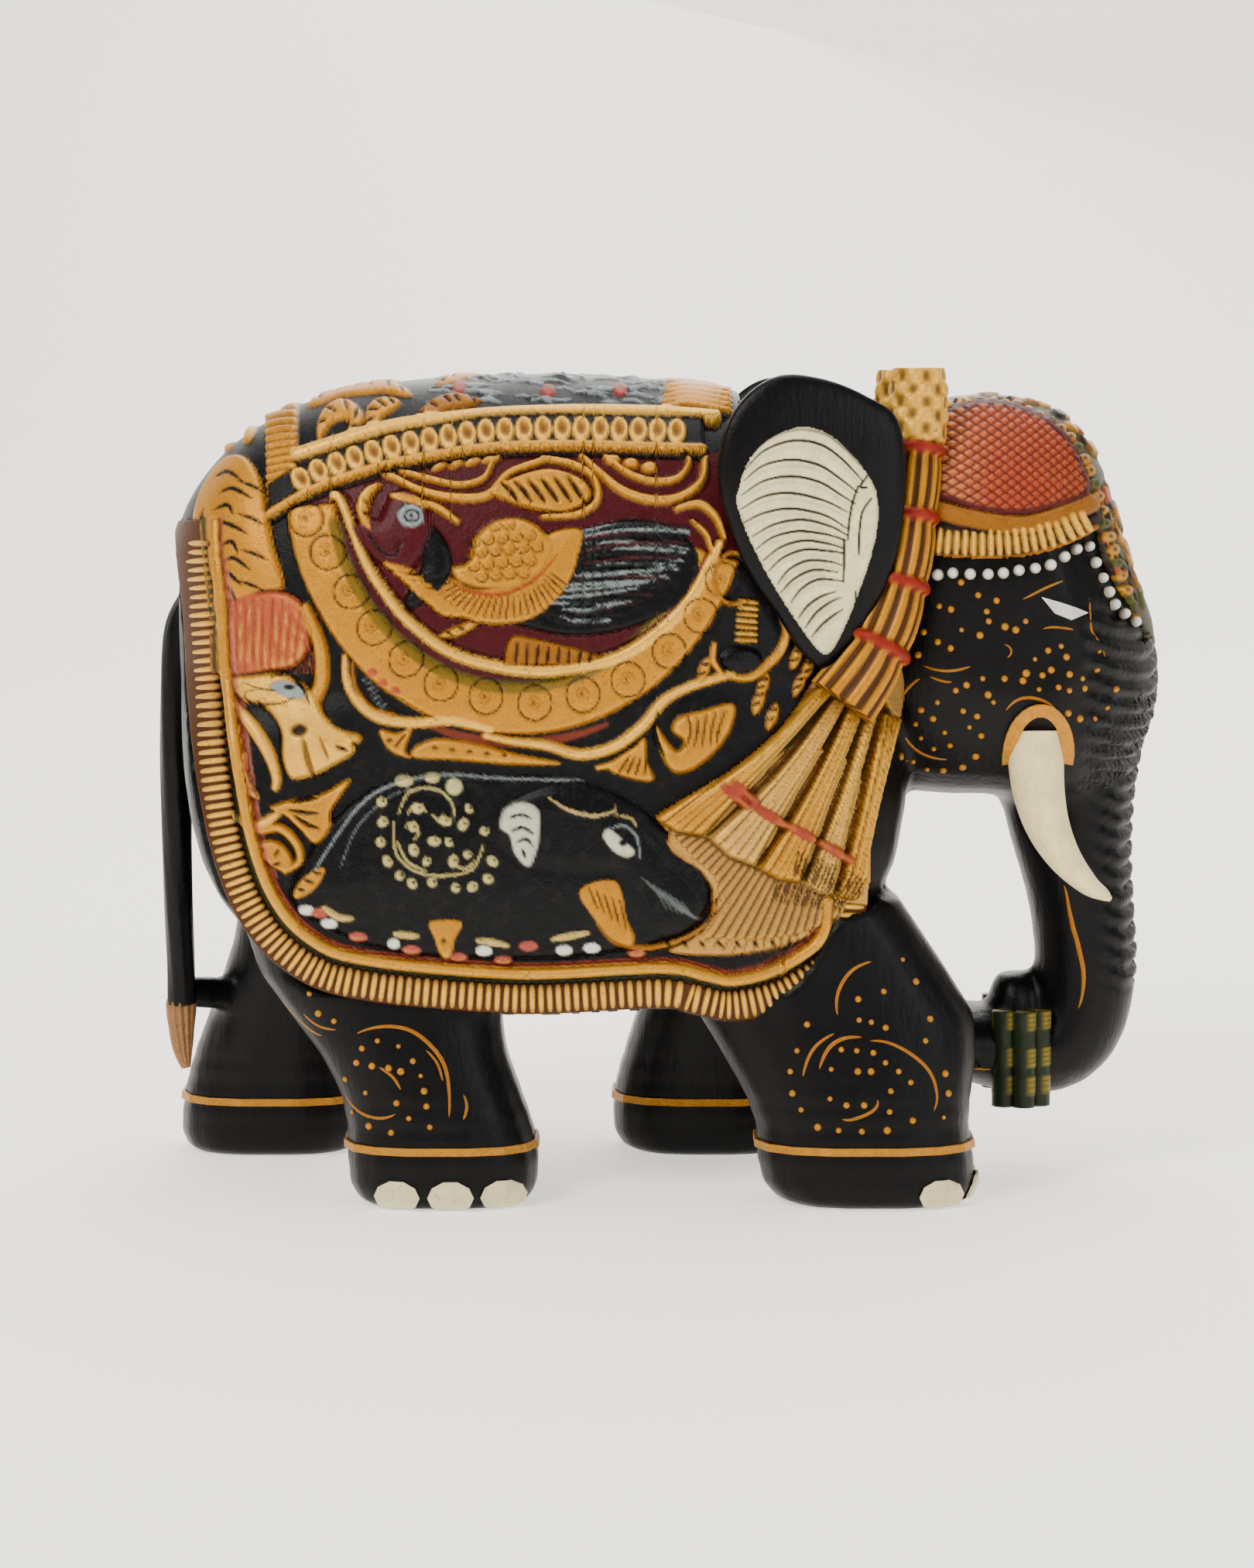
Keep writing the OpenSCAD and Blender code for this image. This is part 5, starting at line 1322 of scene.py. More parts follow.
def set_in_rows(name, spots, frames, shape, length, width, height, material, jitter=0.06, seed=3, sizes=None):
    """Runs the scatter tree over points in millimetres and keeps the result as a plain mesh."""
    tree = bpy.data.node_groups.get("set_in_rows") or scatter_tree()
    mesh = bpy.data.meshes.new(name + "_points")
    mesh.from_pydata((np.asarray(spots) * MM).tolist(), [], [])
    turns = []
    for across, along, out in frames:
        turns.append(Matrix((across, along, out)).transposed().to_euler())
    layer = mesh.attributes.new("turn", "FLOAT_VECTOR", "POINT")
    layer.data.foreach_set("vector", np.array([tuple(t) for t in turns], np.float32).ravel())
    scale = mesh.attributes.new("size", "FLOAT_VECTOR", "POINT")
    each = np.ones((len(spots), 3), np.float32) if sizes is None else np.asarray(sizes, np.float32)
    scale.data.foreach_set("vector", (each if each.ndim == 2 else np.repeat(each[:, None], 3, 1)).ravel())
    carrier = bpy.data.objects.new(name + "_carrier", mesh)
    bpy.context.scene.collection.objects.link(carrier)
    modifier = carrier.modifiers.new("rows", "NODES")
    modifier.node_group = tree
    values = {"Shape": shape, "Length": length, "Width": width, "Height": height, "Jitter": jitter,
        "Seed": seed, "Paint": material}
    for item in tree.interface.items_tree:
        if item.item_type == "SOCKET" and item.in_out == "INPUT" and item.name in values:
            modifier[item.identifier] = values[item.name]
    bpy.context.view_layer.update()
    graph = bpy.context.evaluated_depsgraph_get()
    made = bpy.data.meshes.new_from_object(carrier.evaluated_get(graph))
    made.name = name
    bpy.data.objects.remove(carrier)
    obj = bpy.data.objects.new(name, made)
    bpy.context.scene.collection.objects.link(obj)
    made.polygons.foreach_set("use_smooth", [True] * len(made.polygons))
    return obj


def lozenge(name, low, high, squareness=2.4, rows=9, cols=13):
    """A domed oval, one unit long, wide and high, with painted shade at its foot that lightens towards its
    top. It is a pattern and isn't kept.
    """
    turn = np.linspace(0, 2 * math.pi, cols, endpoint=False)
    verts = []
    tones = []
    for k in range(rows):
        t = k / (rows - 1) * math.pi / 2
        c = math.cos(t)
        s = math.sin(t)
        for a in turn:
            x = 0.5 * math.copysign(abs(math.cos(a)) ** (2 / squareness), math.cos(a)) * c
            y = 0.5 * math.copysign(abs(math.sin(a)) ** (2 / squareness), math.sin(a)) * c
            verts.append((x, y, s))
            tones.append(s)
    verts += [(x, y, -0.5) for x, y, _ in verts[:cols]]
    tones += [0.0] * cols
    faces = []
    for k in range(rows - 1):
        for j in range(cols):
            faces.append([k * cols + j, k * cols + (j + 1) % cols, (k + 1) * cols + (j + 1) % cols,
                (k + 1) * cols + j])
    foot = rows * cols
    for j in range(cols):
        faces.append([foot + j, foot + (j + 1) % cols, (j + 1) % cols, j])
    faces.append([foot + j for j in reversed(range(cols))])
    # painted shade at the foot, lighter towards the top
    share = smooth(np.array(tones) ** 1.5)[:, None]
    tone = np.array(low)[None] * (1 - share) + np.array(high)[None] * share
    return new_object(name, verts, faces, tone, np.full(len(verts), 0.4))


def frames_on(form, line, plane, lift, side):
    """Points along a line on a form, each with its across, along and outward directions."""
    u, v = np.asarray(line, float).T
    p = laid_on(form, u, v, plane, lift)
    along = unit(laid_on(form, u, v + 0.3, plane, lift) - laid_on(form, u, v - 0.3, plane, lift))
    out = unit(np.cross(along, laid_on(form, u - 0.3, v, plane, lift) - p))
    out *= np.where(out[:, 1] > 0, -1, 1)[:, None]
    flip = [1, -1, 1] if side == LEFT else [1, 1, 1]
    out = out * flip
    across = np.cross(out, along * flip)
    return p * flip, [(Vector(b).cross(Vector(c)), Vector(b), Vector(c)) for b, c in zip(across, out)]


# ---- materials -------------------------------------------------------------------------------------
class Tone:
    """A number, colour or vector that a material node gives, with ordinary arithmetic."""

    def __init__(self, recipe, socket):
        self.recipe = recipe
        self.socket = socket

    def work(self, operation, *others, clamp=False):
        values = {k: other for k, other in enumerate((self,) + others)}
        return self.recipe.node("ShaderNodeMath", {"operation": operation, "use_clamp": clamp}, values)

    def __add__(self, other):
        return self.work("ADD", other)

    def __sub__(self, other):
        return self.work("SUBTRACT", other)

    def __mul__(self, other):
        return self.work("MULTIPLY", other)

    def __rsub__(self, other):
        return self.recipe.node("ShaderNodeMath", {"operation": "SUBTRACT"}, {0: other, 1: self})

    __radd__ = __add__
    __rmul__ = __mul__

    def held(self):
        return self.work("ADD", 0.0, clamp=True)


class Recipe:
    """One material, built node by node."""

    def __init__(self, name):
        self.material = bpy.data.materials.new(name)
        self.material.use_nodes = True
        self.tree = self.material.node_tree
        self.tree.nodes.clear()
        self.place = self.node("ShaderNodeTexCoord", out="Object")

    def node(self, kind, settings=None, sockets=None, out=0):
        node = self.tree.nodes.new(kind)
        for name, value in (settings or {}).items():
            setattr(node, name, value)
        for name, value in (sockets or {}).items():
            socket = node.inputs[name]
            if isinstance(value, Tone):
                self.tree.links.new(value.socket, socket)
            else:
                socket.default_value = value
        return Tone(self, node.outputs[out])

    def noise(self, scale, detail=3.0, rough=0.55, squash=None, out="Fac"):
        place = self.place
        if squash is not None:
            place = self.node("ShaderNodeVectorMath", {"operation": "MULTIPLY"}, {0: place, 1: squash},
                "Vector")
        return self.node("ShaderNodeTexNoise", None, {"Vector": place, "Scale": scale, "Detail": detail,
            "Roughness": rough}, out)

    def attribute(self, name, out="Color"):
        return self.node("ShaderNodeAttribute", {"attribute_name": name}, None, out)

    def mix(self, share, low, high):
        node = self.tree.nodes.new("ShaderNodeMix")
        node.data_type = "RGBA"
        for k, value in ((0, share), (6, low), (7, high)):
            if isinstance(value, Tone):
                self.tree.links.new(value.socket, node.inputs[k])
            else:
                node.inputs[k].default_value = value if k == 0 else (*value, 1.0)
        return Tone(self, node.outputs[2])

    def scale(self, colour, share):
        return self.node("ShaderNodeVectorMath", {"operation": "SCALE"}, {0: colour, "Scale": share},
            "Vector")

    def part(self, colour, channel):
        return self.node("ShaderNodeSeparateColor", None, {"Color": colour}, channel)

    def coat(self, colour, rough, metal, height, depth, constants):
        shader = self.tree.nodes.new("ShaderNodeBsdfPrincipled")
        bump = self.node("ShaderNodeBump", None, {"Height": height, "Distance": depth, "Strength": 0.9},
            "Normal")
        wired = {"Base Color": colour, "Roughness": rough, "Metallic": metal, "Normal": bump}
        for name, value in wired.items():
            if isinstance(value, Tone):
                self.tree.links.new(value.socket, shader.inputs[name])
            else:
                shader.inputs[name].default_value = value
        for name, value in constants.items():
            shader.inputs[name].default_value = value
        leave = self.tree.nodes.new("ShaderNodeOutputMaterial")
        self.tree.links.new(shader.outputs[0], leave.inputs[0])
        return self.material


def painted_relief(name="painted_relief"):
    """Hand paint over carving: the colour lies on the points, and the gold is brushed, patchy and worn."""
    r = Recipe(name)
    paint = r.attribute("paint")
    gloss = r.attribute("gloss", "Fac")
    cloud = r.noise(420, 4, 0.6)
    patch_tone = r.noise(1500, 3, 0.6)
    fleck = r.noise(5200, 2, 0.6)
    red = r.part(paint, 0)
    blue = r.part(paint, 2)
    warm = ((red - 0.2) * 5).held() * ((0.28 - blue) * 9).held()
    shade = 0.36 + cloud * 0.62 + patch_tone * 0.42 + fleck * 0.12
    colour = r.scale(paint, shade)
    brown = warm * ((patch_tone - 0.53) * 7).held() * ((cloud - 0.38) * 4).held() * 0.75
    colour = r.mix(brown, colour, (0.13, 0.042, 0.006))
    spark = warm * ((fleck - 0.6) * 9).held() * 0.4
    colour = r.mix(spark, colour, (0.80, 0.50, 0.15))
    dust = ((cloud - 0.52) * 5).held() * ((0.03 - red) * 60).held() * 0.10
    colour = r.mix(dust, colour, (0.06, 0.05, 0.045))
    rough = (gloss + (fleck - 0.5) * 0.25 + (cloud - 0.5) * 0.12).held()
    height = patch_tone * 0.6 + fleck * 0.4
    return r.coat(colour, rough, warm * 0.42, height, 0.00016, {"Specular IOR Level": 0.14})


def black_lacquer(name="black_lacquer"):
    """Near black lacquer over carved wood: brushed, a little dusty, with brown where it is rubbed thin."""
    r = Recipe(name)
    cloud = r.noise(160, 4, 0.6)
    brush = r.noise(900, 3, 0.6, (1.0, 1.0, 0.22))
    grain = r.noise(3200, 3, 0.65)
    base = r.mix(cloud, (0.0012, 0.0012, 0.0016), (0.0040, 0.0036, 0.0036))
    rubbed = ((grain - 0.63) * 8).held() * ((cloud - 0.5) * 4).held() * 0.55
    colour = r.mix(rubbed, base, (0.05, 0.026, 0.018))
    rough = 0.16 + brush * 0.16 + grain * 0.16
    height = brush * 0.7 + grain * 0.3
    return r.coat(colour, rough, 0.0, height, 0.00022, {"Specular IOR Level": 0.13})


def aged_cream(name, colour, stain, streak=0.35):
    """Cream paint with thin brown streaks and stains gathered in its hollows."""
    r = Recipe(name)
    cloud = r.noise(300, 4, 0.6)
    grain = r.noise(1400, 4, 0.65, (1.0, 1.0, 0.35))
    speck = r.noise(3600, 2, 0.6)
    base = r.mix((cloud - 0.35) * 2.2, colour, tuple(c * 0.72 for c in colour))
    marks = ((grain - 0.58) * 7).held() * streak + ((speck - 0.66) * 9).held() * 0.3
    tone = r.mix(marks.held(), base, stain)
    return r.coat(tone, 0.42 + grain * 0.2, 0.0, grain, 0.00018, {"Specular IOR Level": 0.4})


def worn_gold(name, colour=GOLD):
    """Gold paint with brown rubbed through it."""
    r = Recipe(name)
    cloud = r.noise(600, 4, 0.6)
    grain = r.noise(2600, 3, 0.6)
    base = r.mix(cloud, tuple(c * 0.55 for c in colour), tuple(min(c * 1.25, 1) for c in colour))
    tone = r.mix(((grain - 0.55) * 7).held() * 0.7, base, (0.12, 0.045, 0.012))
    return r.coat(tone, 0.3 + grain * 0.25, 0.45, grain, 0.0002, {"Specular IOR Level": 0.4})


def pale_floor(name, colour):
    """Plain matt paper."""
    r = Recipe(name)
    cloud = r.noise(9, 2, 0.5)
    tone = r.mix(cloud, colour, tuple(c * 0.985 for c in colour))
    glow = {"Specular IOR Level": 0.05, "Emission Color": (*colour, 1.0), "Emission Strength": 1.15}
    return r.coat(tone, 0.9, 0.0, cloud, 0.00001, glow)


MADE = {}


def finish_of(name):
    """The material of that name, made once."""
    if name not in MADE:
        makers = {
            "painted_relief": painted_relief,
            "black_lacquer": black_lacquer,
            "tusk_cream": lambda: aged_cream("tusk_cream", (0.88, 0.72, 0.36), (0.22, 0.13, 0.03), 0.3),
            "nail_cream": lambda: aged_cream("nail_cream", (0.72, 0.64, 0.36), (0.14, 0.085, 0.03), 0.5),
            "pearl_white": lambda: aged_cream("pearl_white", (0.68, 0.66, 0.58), (0.22, 0.18, 0.12), 0.3),
            "worn_gold": lambda: worn_gold("worn_gold"),
            "tail_gold": lambda: worn_gold("tail_gold", (0.30, 0.14, 0.05)),
            "cane_green": lambda: worn_gold("cane_green", (0.030, 0.034, 0.010)),
        }
        MADE[name] = makers[name]()
    return MADE[name]


# ---- settings that a user would change ----------------------------------------------------------------
class ElephantSizes(bpy.types.PropertyGroup):
    """Spacings and depths of the carving."""

    skin_step: bpy.props.FloatProperty(
        name="Skin step", description="Distance between points of the carved dress",
        default=0.36, min=0.25, max=2.0)
    body_voxel: bpy.props.FloatProperty(
        name="Body voxel", description="Fineness of the smoothed wooden body, in millimetres",
        default=1.08, min=0.6, max=3.0)
    flute_pitch: bpy.props.FloatProperty(
        name="Flute pitch", description="Distance between the flutes of the fringe, in millimetres",
        default=1.62, min=1.0, max=4.0)
    flute_width: bpy.props.FloatProperty(
        name="Flute width", description="Width of one flute, in millimetres",
        default=1.34, min=0.5, max=3.0)
    pearl_size: bpy.props.FloatProperty(
        name="Pearl size", description="Width of a brow pearl, in millimetres",
        default=2.1, min=1.0, max=4.0)
    dot_size: bpy.props.FloatProperty(
        name="Dot size", description="Width of a painted dot on the legs, in millimetres",
        default=1.15, min=0.5, max=3.0)


class ElephantColours(bpy.types.PropertyGroup):
    """Colours of the floor and the backdrop."""

    floor: bpy.props.FloatVectorProperty(
        name="Floor", description="Colour of the paper under the figure",
        subtype="COLOR", size=3, default=(0.86, 0.835, 0.78))
    backdrop: bpy.props.FloatVectorProperty(
        name="Backdrop", description="Colour of the paper behind the figure",
        subtype="COLOR", size=3, default=(0.86, 0.84, 0.79))


def sizes():
    return bpy.context.scene.elephant_sizes


def colours():
    return bpy.context.scene.elephant_colours


# ---- operators ---------------------------------------------------------------------------------------
class ELEPHANT_OT_body(bpy.types.Operator):
    """Smooths the carved wooden body and cuts the grooves of the trunk"""

    bl_idname = "elephant.body"
    bl_label = "Body"

    def execute(self, context):
        source = NODES["body"]
        mesh = source.data.copy()
        obj = bpy.data.objects.new("body_carved", mesh)
        bpy.context.scene.collection.objects.link(obj)
        obj.parent = None
        for kind, settings in (
                ("WELD", {"merge_threshold": 0.00001}),
                ("REMESH", {"mode": "VOXEL", "voxel_size": sizes().body_voxel * MM}),
                ("CORRECTIVE_SMOOTH", {"factor": 0.5, "iterations": 6, "use_only_smooth": True})):
            modifier = obj.modifiers.new(kind.lower(), kind)
            for name, value in settings.items():
                setattr(modifier, name, value)
        graph = bpy.context.evaluated_depsgraph_get()
        made = bpy.data.meshes.new_from_object(obj.evaluated_get(graph))
        obj.modifiers.clear()
        obj.data = made
        count = len(made.vertices)
        points = np.empty(count * 3)
        made.vertices.foreach_get("co", points)
        points = points.reshape(-1, 3) / MM
        normals = np.empty(count * 3)
        made.vertices.foreach_get("normal", normals)
        normals = normals.reshape(-1, 3)
        board = carve_board("dress")
        half = points.copy()
        half[:, 1] = -np.abs(half[:, 1])
        u, v = seen_at(half)
        _, _, _, label = board.sample(u, v)
        inside_x = (u > board.x0 + 1) & (u < 43) & (v > 40) & (v < 160)
        near = np.abs(np.abs(points[:, 1]) - DRESS.side(points[:, 0], points[:, 2])) < 2.5
        under = (label >= 0) & inside_x & (near | (points[:, 2] > 120))
        points[under] -= normals[under] * 1.3
        # Grooves across the front of the trunk, which fade towards its sides.
        x, y, z = points.T
        front = smooth((x - 76.5) / 4) * smooth((z - 34) / 6) * smooth((112
            - z) / 8) * smooth(normals[:, 0] * 1.4)
        slope = z + 0.75 * (x - 82) + 0.55 * np.abs(y)
        groove = 0.5 + 0.5 * np.cos(2 * math.pi * slope / 3.7)
        points -= normals * (1.35 * front * groove ** 2 - 0.25 * front)[:, None]
        knee = smooth((26 - z) / 8) * smooth(z / 3)
        wave = 0.5 + 0.5 * np.cos(2 * math.pi * (z - 2) / 4.2)
        points -= normals * (0.12 * knee * wave)[:, None]
        made.vertices.foreach_set("co", (points * MM).ravel())
        made.polygons.foreach_set("use_smooth", [True] * len(made.polygons))
        made.update()
        settle(obj, "black_lacquer", "body", material=finish_of("black_lacquer"))
        return {"FINISHED"}


BOARDS = {}


def carve_board(name):
    """A board of that name, drawn once."""
    if name not in BOARDS:
        BOARDS[name] = {"dress": carve_dress, "head": carve_head, "lining": carve_lining,
            "fan": carve_fan}[name]()
    return BOARDS[name]


DRESS_SLOTS = {"blanket": "blanket_ground", "crescent_right": "crescent_gold", "bird_right": "bird_paint",
    "saddle_cloth": "saddle_gold", "gadroon_band_right": "gadroon_gold",
    "small_elephant_right": "black_relief", "lion_right": "lion_paint", "corner_cloth_right": "corner_gold",
    "fringe_right": "fringe_gold", "hem_rail_right": "rail_gold", "cap_right": "cap_red",
    "cap_fringe_right": "cap_gold", "forehead_strip": "forehead_paint", "ear_lining_right": "ear_cream",
    "tassel_right": "tassel_gold"}


class ELEPHANT_OT_dress(bpy.types.Operator):
    """Carves the blanket, the medallion, the animals, the leaves and the border on both sides"""

    bl_idname = "elephant.dress"
    bl_label = "Dress"

    def execute(self, context):
        step = sizes().skin_step * 1
        xs = plan_columns(DRESS, 108, -89.5, 44, step)
        grid = skin_grid(DRESS, xs, hem_level(xs), step)
        u, v = seen_at(grid)
        parts = shells(carve_board("dress"), grid, u, v, 2.2, "both")
        both_sides(parts, "carved")
        return {"FINISHED"}


class ELEPHANT_OT_fringe(bpy.types.Operator):
    """Sets the flutes of the fringe along the hem"""

    bl_idname = "elephant.fringe"
    bl_label = "Fringe"

    def execute(self, context):
        shape = lozenge("flute_pattern", BROWN, PALE_GOLD, 3.2)
        spots, ways = stations(HEM, sizes().flute_pitch)
        inward = beside(ways)
        low = spots - 0.15 * inward
        high = spots + (FRINGE_WIDTH + 0.1) * inward
        foot = laid_on(DRESS, *low.T, None, 0.9)
        head = laid_on(DRESS, *high.T, None, 1.3)
        along = head - foot
        reach = np.linalg.norm(along, axis=1)
        along /= reach[:, None]
        ahead = spots + 0.4 * ways
        behind = spots - 0.4 * ways
        across = laid_on(DRESS, *ahead.T, None, 1.1) - laid_on(DRESS, *behind.T, None, 1.1)
        out = unit(np.cross(along, across))
        out *= np.where(out[:, 1] > 0, -1, 1)[:, None]
        mid = spots + (FRINGE_WIDTH / 2) * inward
        middle = laid_on(DRESS, *mid.T, None, 1.15)
        gap = np.linalg.norm(np.diff(middle, axis=0), axis=1)
        gap = np.append(gap, gap[-1]) / sizes().flute_pitch
        kept = (middle[:, 1] < -3) & (reach < 15)
        middle, along, out, reach, gap = middle[kept], along[kept], out[kept], reach[kept], gap[kept]
        for side in (RIGHT, LEFT):
            turn = np.array([1, 1 if side == RIGHT else -1, 1])
            frames = [(Vector(y * turn).cross(Vector(z * turn)), Vector(y * turn), Vector(z * turn)) for y,
                z in zip(along, out)]
            obj = set_in_rows(f"fringe_flutes_{SIDE_NAMES[side]}", middle * turn, frames, shape, 1.0,
                              sizes().flute_width, 0.95, finish_of("painted_relief"), 0.04, 4,
                              np.stack([np.clip(gap, 0.8, 1.8), reach, np.ones(len(reach))], 1))
            settle(obj, "fringe_gold", f"fringe_{SIDE_NAMES[side]}")
        bpy.data.objects.remove(shape)
        return {"FINISHED"}


class ELEPHANT_OT_head(bpy.types.Operator):
    """Carves the cap, its fringe and the strip down the forehead, and sets the pearls of the brow"""

    bl_idname = "elephant.head"
    bl_label = "Head dress"

    def execute(self, context):
        step = 0.3 * 1
        xs = plan_columns(HEAD, 128, 91.9, 44, step)[::-1]
        grid = skin_grid(HEAD, xs, 100, step)
        u, v = seen_at(grid, HEAD_PLANE)
        parts = shells(carve_board("head"), grid, u, v, 1.6, "ridge")
        both_sides(parts, "carved")
        pearls = [[48.5, 114], [51.5, 114.2], [54.3, 114.5], [57.5, 114.3], [60.8, 114.3], [63.6, 114.5],
            [66.5, 115], [69.5, 115.4], [72.3, 116], [74.8, 117.5], [77, 118.9], [79.3, 119.4],
            [80.5, 116.4], [81.9, 113.6], [83, 111], [84.1, 108.7], [86, 107], [88, 105.5]]
        shape = lozenge("pearl_pattern", (0.3, 0.27, 0.2), (0.78, 0.77, 0.7), 2.0)
        spots = []
        frames = []
        for side in (RIGHT, LEFT):
            more, ways = frames_on(HEAD, pearls, HEAD_PLANE, 0.1, side)
            spots += list(more)
            frames += ways
        size = sizes().pearl_size
        obj = set_in_rows("brow_pearls_set", spots, frames, shape, size, size, size * 0.62,
            finish_of("painted_relief"), 0.08, 5)
        settle(obj, "pearl_white", "brow_pearls")
        bpy.data.objects.remove(shape)
        return {"FINISHED"}


class ELEPHANT_OT_ears(bpy.types.Operator):
    """Shapes the black ear flaps and their veined cream linings"""

    bl_idname = "elephant.ears"
    bl_label = "Ears"

    def execute(self, context):
        rim = bend(EAR_LINE, 14, True)
        rings = np.concatenate([[0.02], np.linspace(0.12, 0.82, 14), 1 - 0.17 * np.linspace(0.9, 0, 10) ** 2])
        centre = EAR_SEAT[[0, 2]]
        c = math.cos(EAR_LEAN)
        s = math.sin(EAR_LEAN)
        rows = []
        for face in (1, -1):
            for share in (rings if face == 1 else rings[-2::-1]):
                flat = centre + (rim - centre) * share
                thick = 2.8 * max(1 - share ** 3.2, 0) ** (1 / 3.2)
                x, z = (flat - centre).T
                y = thick * face
                rows.append(np.stack([x * c - y * s, x * s + y * c, z], 1) + EAR_SEAT)
        verts = np.array(rows).reshape(-1, 3)
        n = len(rim)
        faces = []
        for k in range(len(rows) - 1):
            for j in range(n):
                faces.append([k * n + j, k * n + (j + 1) % n, (k + 1) * n + (j + 1) % n, (k + 1) * n + j])
        faces.append([j for j in reversed(range(n))])
        faces.append([(len(rows) - 1) * n + j for j in range(n)])
        probe = verts[faces[n * 3]]
        if np.cross(probe[1] - probe[0], probe[2] - probe[0])[1] < 0:
            faces = [f[::-1] for f in faces]
        board = carve_board("lining")
        step = 0.2 * 1
        us = np.arange(10.5, 43.5, step)
        vs = np.arange(144.5, 96.5, -step)
        u, v = np.meshgrid(us, vs, indexing="ij")
        grid = laid_on(Leaned(), u, v, -25)
        grid[..., 1] = np.where(np.isfinite(grid[..., 1]), grid[..., 1], -30)
        parts = shells(board, grid, u, v, 1.2)
        both_sides(parts, "veined")
        for side in (RIGHT, LEFT):
            points, order = (verts, faces) if side == LEFT else mirrored(verts, faces)
            obj = new_object(f"ear_{SIDE_NAMES[side]}_flap", points, order)
            settle(obj, "black_lacquer", f"ear_{SIDE_NAMES[side]}", material=finish_of("black_lacquer"))
        return {"FINISHED"}


CORD_LINE = [[47.3, 20.4, 152.0, 0.9], [47.3, 20.4, 146, 1.02], [47, 22, 138, 0.98],
    [46.2, 24.5, 129, 0.96], [45, 27, 119, 0.98], [42.6, 29.6, 109, 1.05], [38.6, 32, 100, 1.2],
    [33, 34, 92, 1.35]]


TIES = (15.2, 27.6, 40.2, 52.4)
KNOT_FOOT = 14.2


def at_ties(run, width, power=2):
    """A bump at each red tie of the cord."""
    return sum(np.exp(-((run - at) / width) ** power) for at in TIES)


def weave_of(run, turn):
    return np.sin(6 * turn + math.pi * (np.floor(run / 2.6) % 2)) * np.abs(np.sin(math.pi * run / 2.6)) ** 0.5


def cord_swell(run, turn):
    """Long twisted strands, drawn in by ties, with a woven knot at the top."""
    strands = 0.93 + 0.075 * np.cos(11 * turn + 0.05 * run)
    knot = smooth((KNOT_FOOT - run) / 0.8)
    tied = smooth(at_ties(run, 1.1, 4))
    body = (strands - 0.09 * at_ties(run, 2.6)) * (1 - tied) + (0.99 + 0.10 * at_ties(run, 1.2)) * tied
    return body * (1 - knot) + (1.03 + 0.09 * weave_of(run, turn)) * knot


def cord_paint(run, turn):
    # Painted shade: brown in the grooves between the strands.
    groove = smooth((0.35 - np.cos(11 * turn + 0.05 * run)) / 0.8)[..., None]
    tone = np.array(GOLD) * (1 - groove) + np.array(BROWN) * groove
    ties = np.clip(at_ties(run, 1.25, 4), 0, 1)[..., None]
    tone = tone * (1 - ties) + np.array((0.24, 0.014, 0.006)) * ties
    knot = smooth((KNOT_FOOT - run) / 0.8)[..., None]
    # Painted highlight and shade on the woven knot: light gold on the raised weave, brown where it sinks.
    share = smooth(weave_of(run, turn) * 0.75 + 0.95)[..., None]
    woven = np.array(PALE_GOLD) * share + np.array(BROWN) * (1 - share)
    return tone * (1 - knot) + woven * knot


class ELEPHANT_OT_tassels(bpy.types.Operator):
    """Makes the tied tassel cords and the strands that fan out over the blanket"""

    bl_idname = "elephant.tassels"
    bl_label = "Tassels"

    def execute(self, context):
        line = bend(CORD_LINE, 26)
        verts, faces, tone = limb(line[:, :3], line[:, 3] * 5.0, line[:, 3] * 4.0, 110, (0, 1, 0),
            cord_swell, cord_paint)
        board = carve_board("fan")
        step = 0.3 * 1
        u, v = np.meshgrid(np.arange(-3, 47, step), np.arange(104, 47, -step), indexing="ij")
        grid = laid_on(DRESS, u, v)
        parts = shells(board, grid, u, v, 3.2)
        both_sides(parts, "fan")
        for side in (RIGHT, LEFT):
            points, order = (verts, faces) if side == LEFT else mirrored(verts, faces)
            obj = new_object(f"tassel_{SIDE_NAMES[side]}_cord", points, order, tone, np.full(len(verts), 0.4))
            settle(obj, "tassel_gold", f"tassel_{SIDE_NAMES[side]}", material=finish_of("painted_relief"))
        return {"FINISHED"}


TUSK_LINE = [[69.4, 20.5, 86, 1.0], [69.4, 20.6, 84, 1], [69.3, 21.4, 80, 1], [69.9, 22.2, 74, 0.92],
    [71.6, 23, 68, 0.78], [74.6, 23.6, 62.5, 0.6], [78.6, 23.8, 58, 0.4], [81.6, 23.7, 56.0, 0.24],
    [83, 23.6, 55, 0.08]]


class ELEPHANT_OT_tusks(bpy.types.Operator):
    """Shapes the tusks and paints their collars"""

    bl_idname = "elephant.tusks"
    bl_label = "Tusks"

    def execute(self, context):
        line = bend(TUSK_LINE, 10)
        verts, faces, _ = limb(line[:, :3], line[:, 3] * 5.1, line[:, 3] * 5.1, 40)
        for side in (RIGHT, LEFT):
            name = SIDE_NAMES[side]
            points, order = (verts, faces) if side == LEFT else mirrored(verts, faces)
            obj = new_object(f"tusk_{name}_carved", points, order)
            settle(obj, "tusk_cream", f"tusk_{name}", material=finish_of("tusk_cream"))
            NODES[f"tusk_collar_{name}"].data.materials.clear()
            NODES[f"tusk_collar_{name}"].data.materials.append(finish_of("worn_gold"))
        return {"FINISHED"}


TAIL_LINE = [[-85.8, 0, 114, 2.0, 2.4], [-87.4, 0, 109, 2.8, 3.2], [-89.8, 0, 102, 3.3, 3.8],
    [-90.7, 0, 86, 3.2, 3.8], [-91, 1, 68, 3, 3.6], [-91.1, 3, 52, 2.8, 3.4], [-91, 5, 40, 2.7, 3.2],
    [-91, 6, 31.5, 2.9, 3.3]]
TUFT_LINE = [[-91, 6, 32.6, 2.4, 2.8], [-91.1, 6, 31, 2.9, 3.3], [-91.1, 6, 27, 2.5, 2.8],
    [-90.9, 6, 22.5, 1.9, 2.1], [-90.3, 6, 18.8, 0.9, 0.9]]


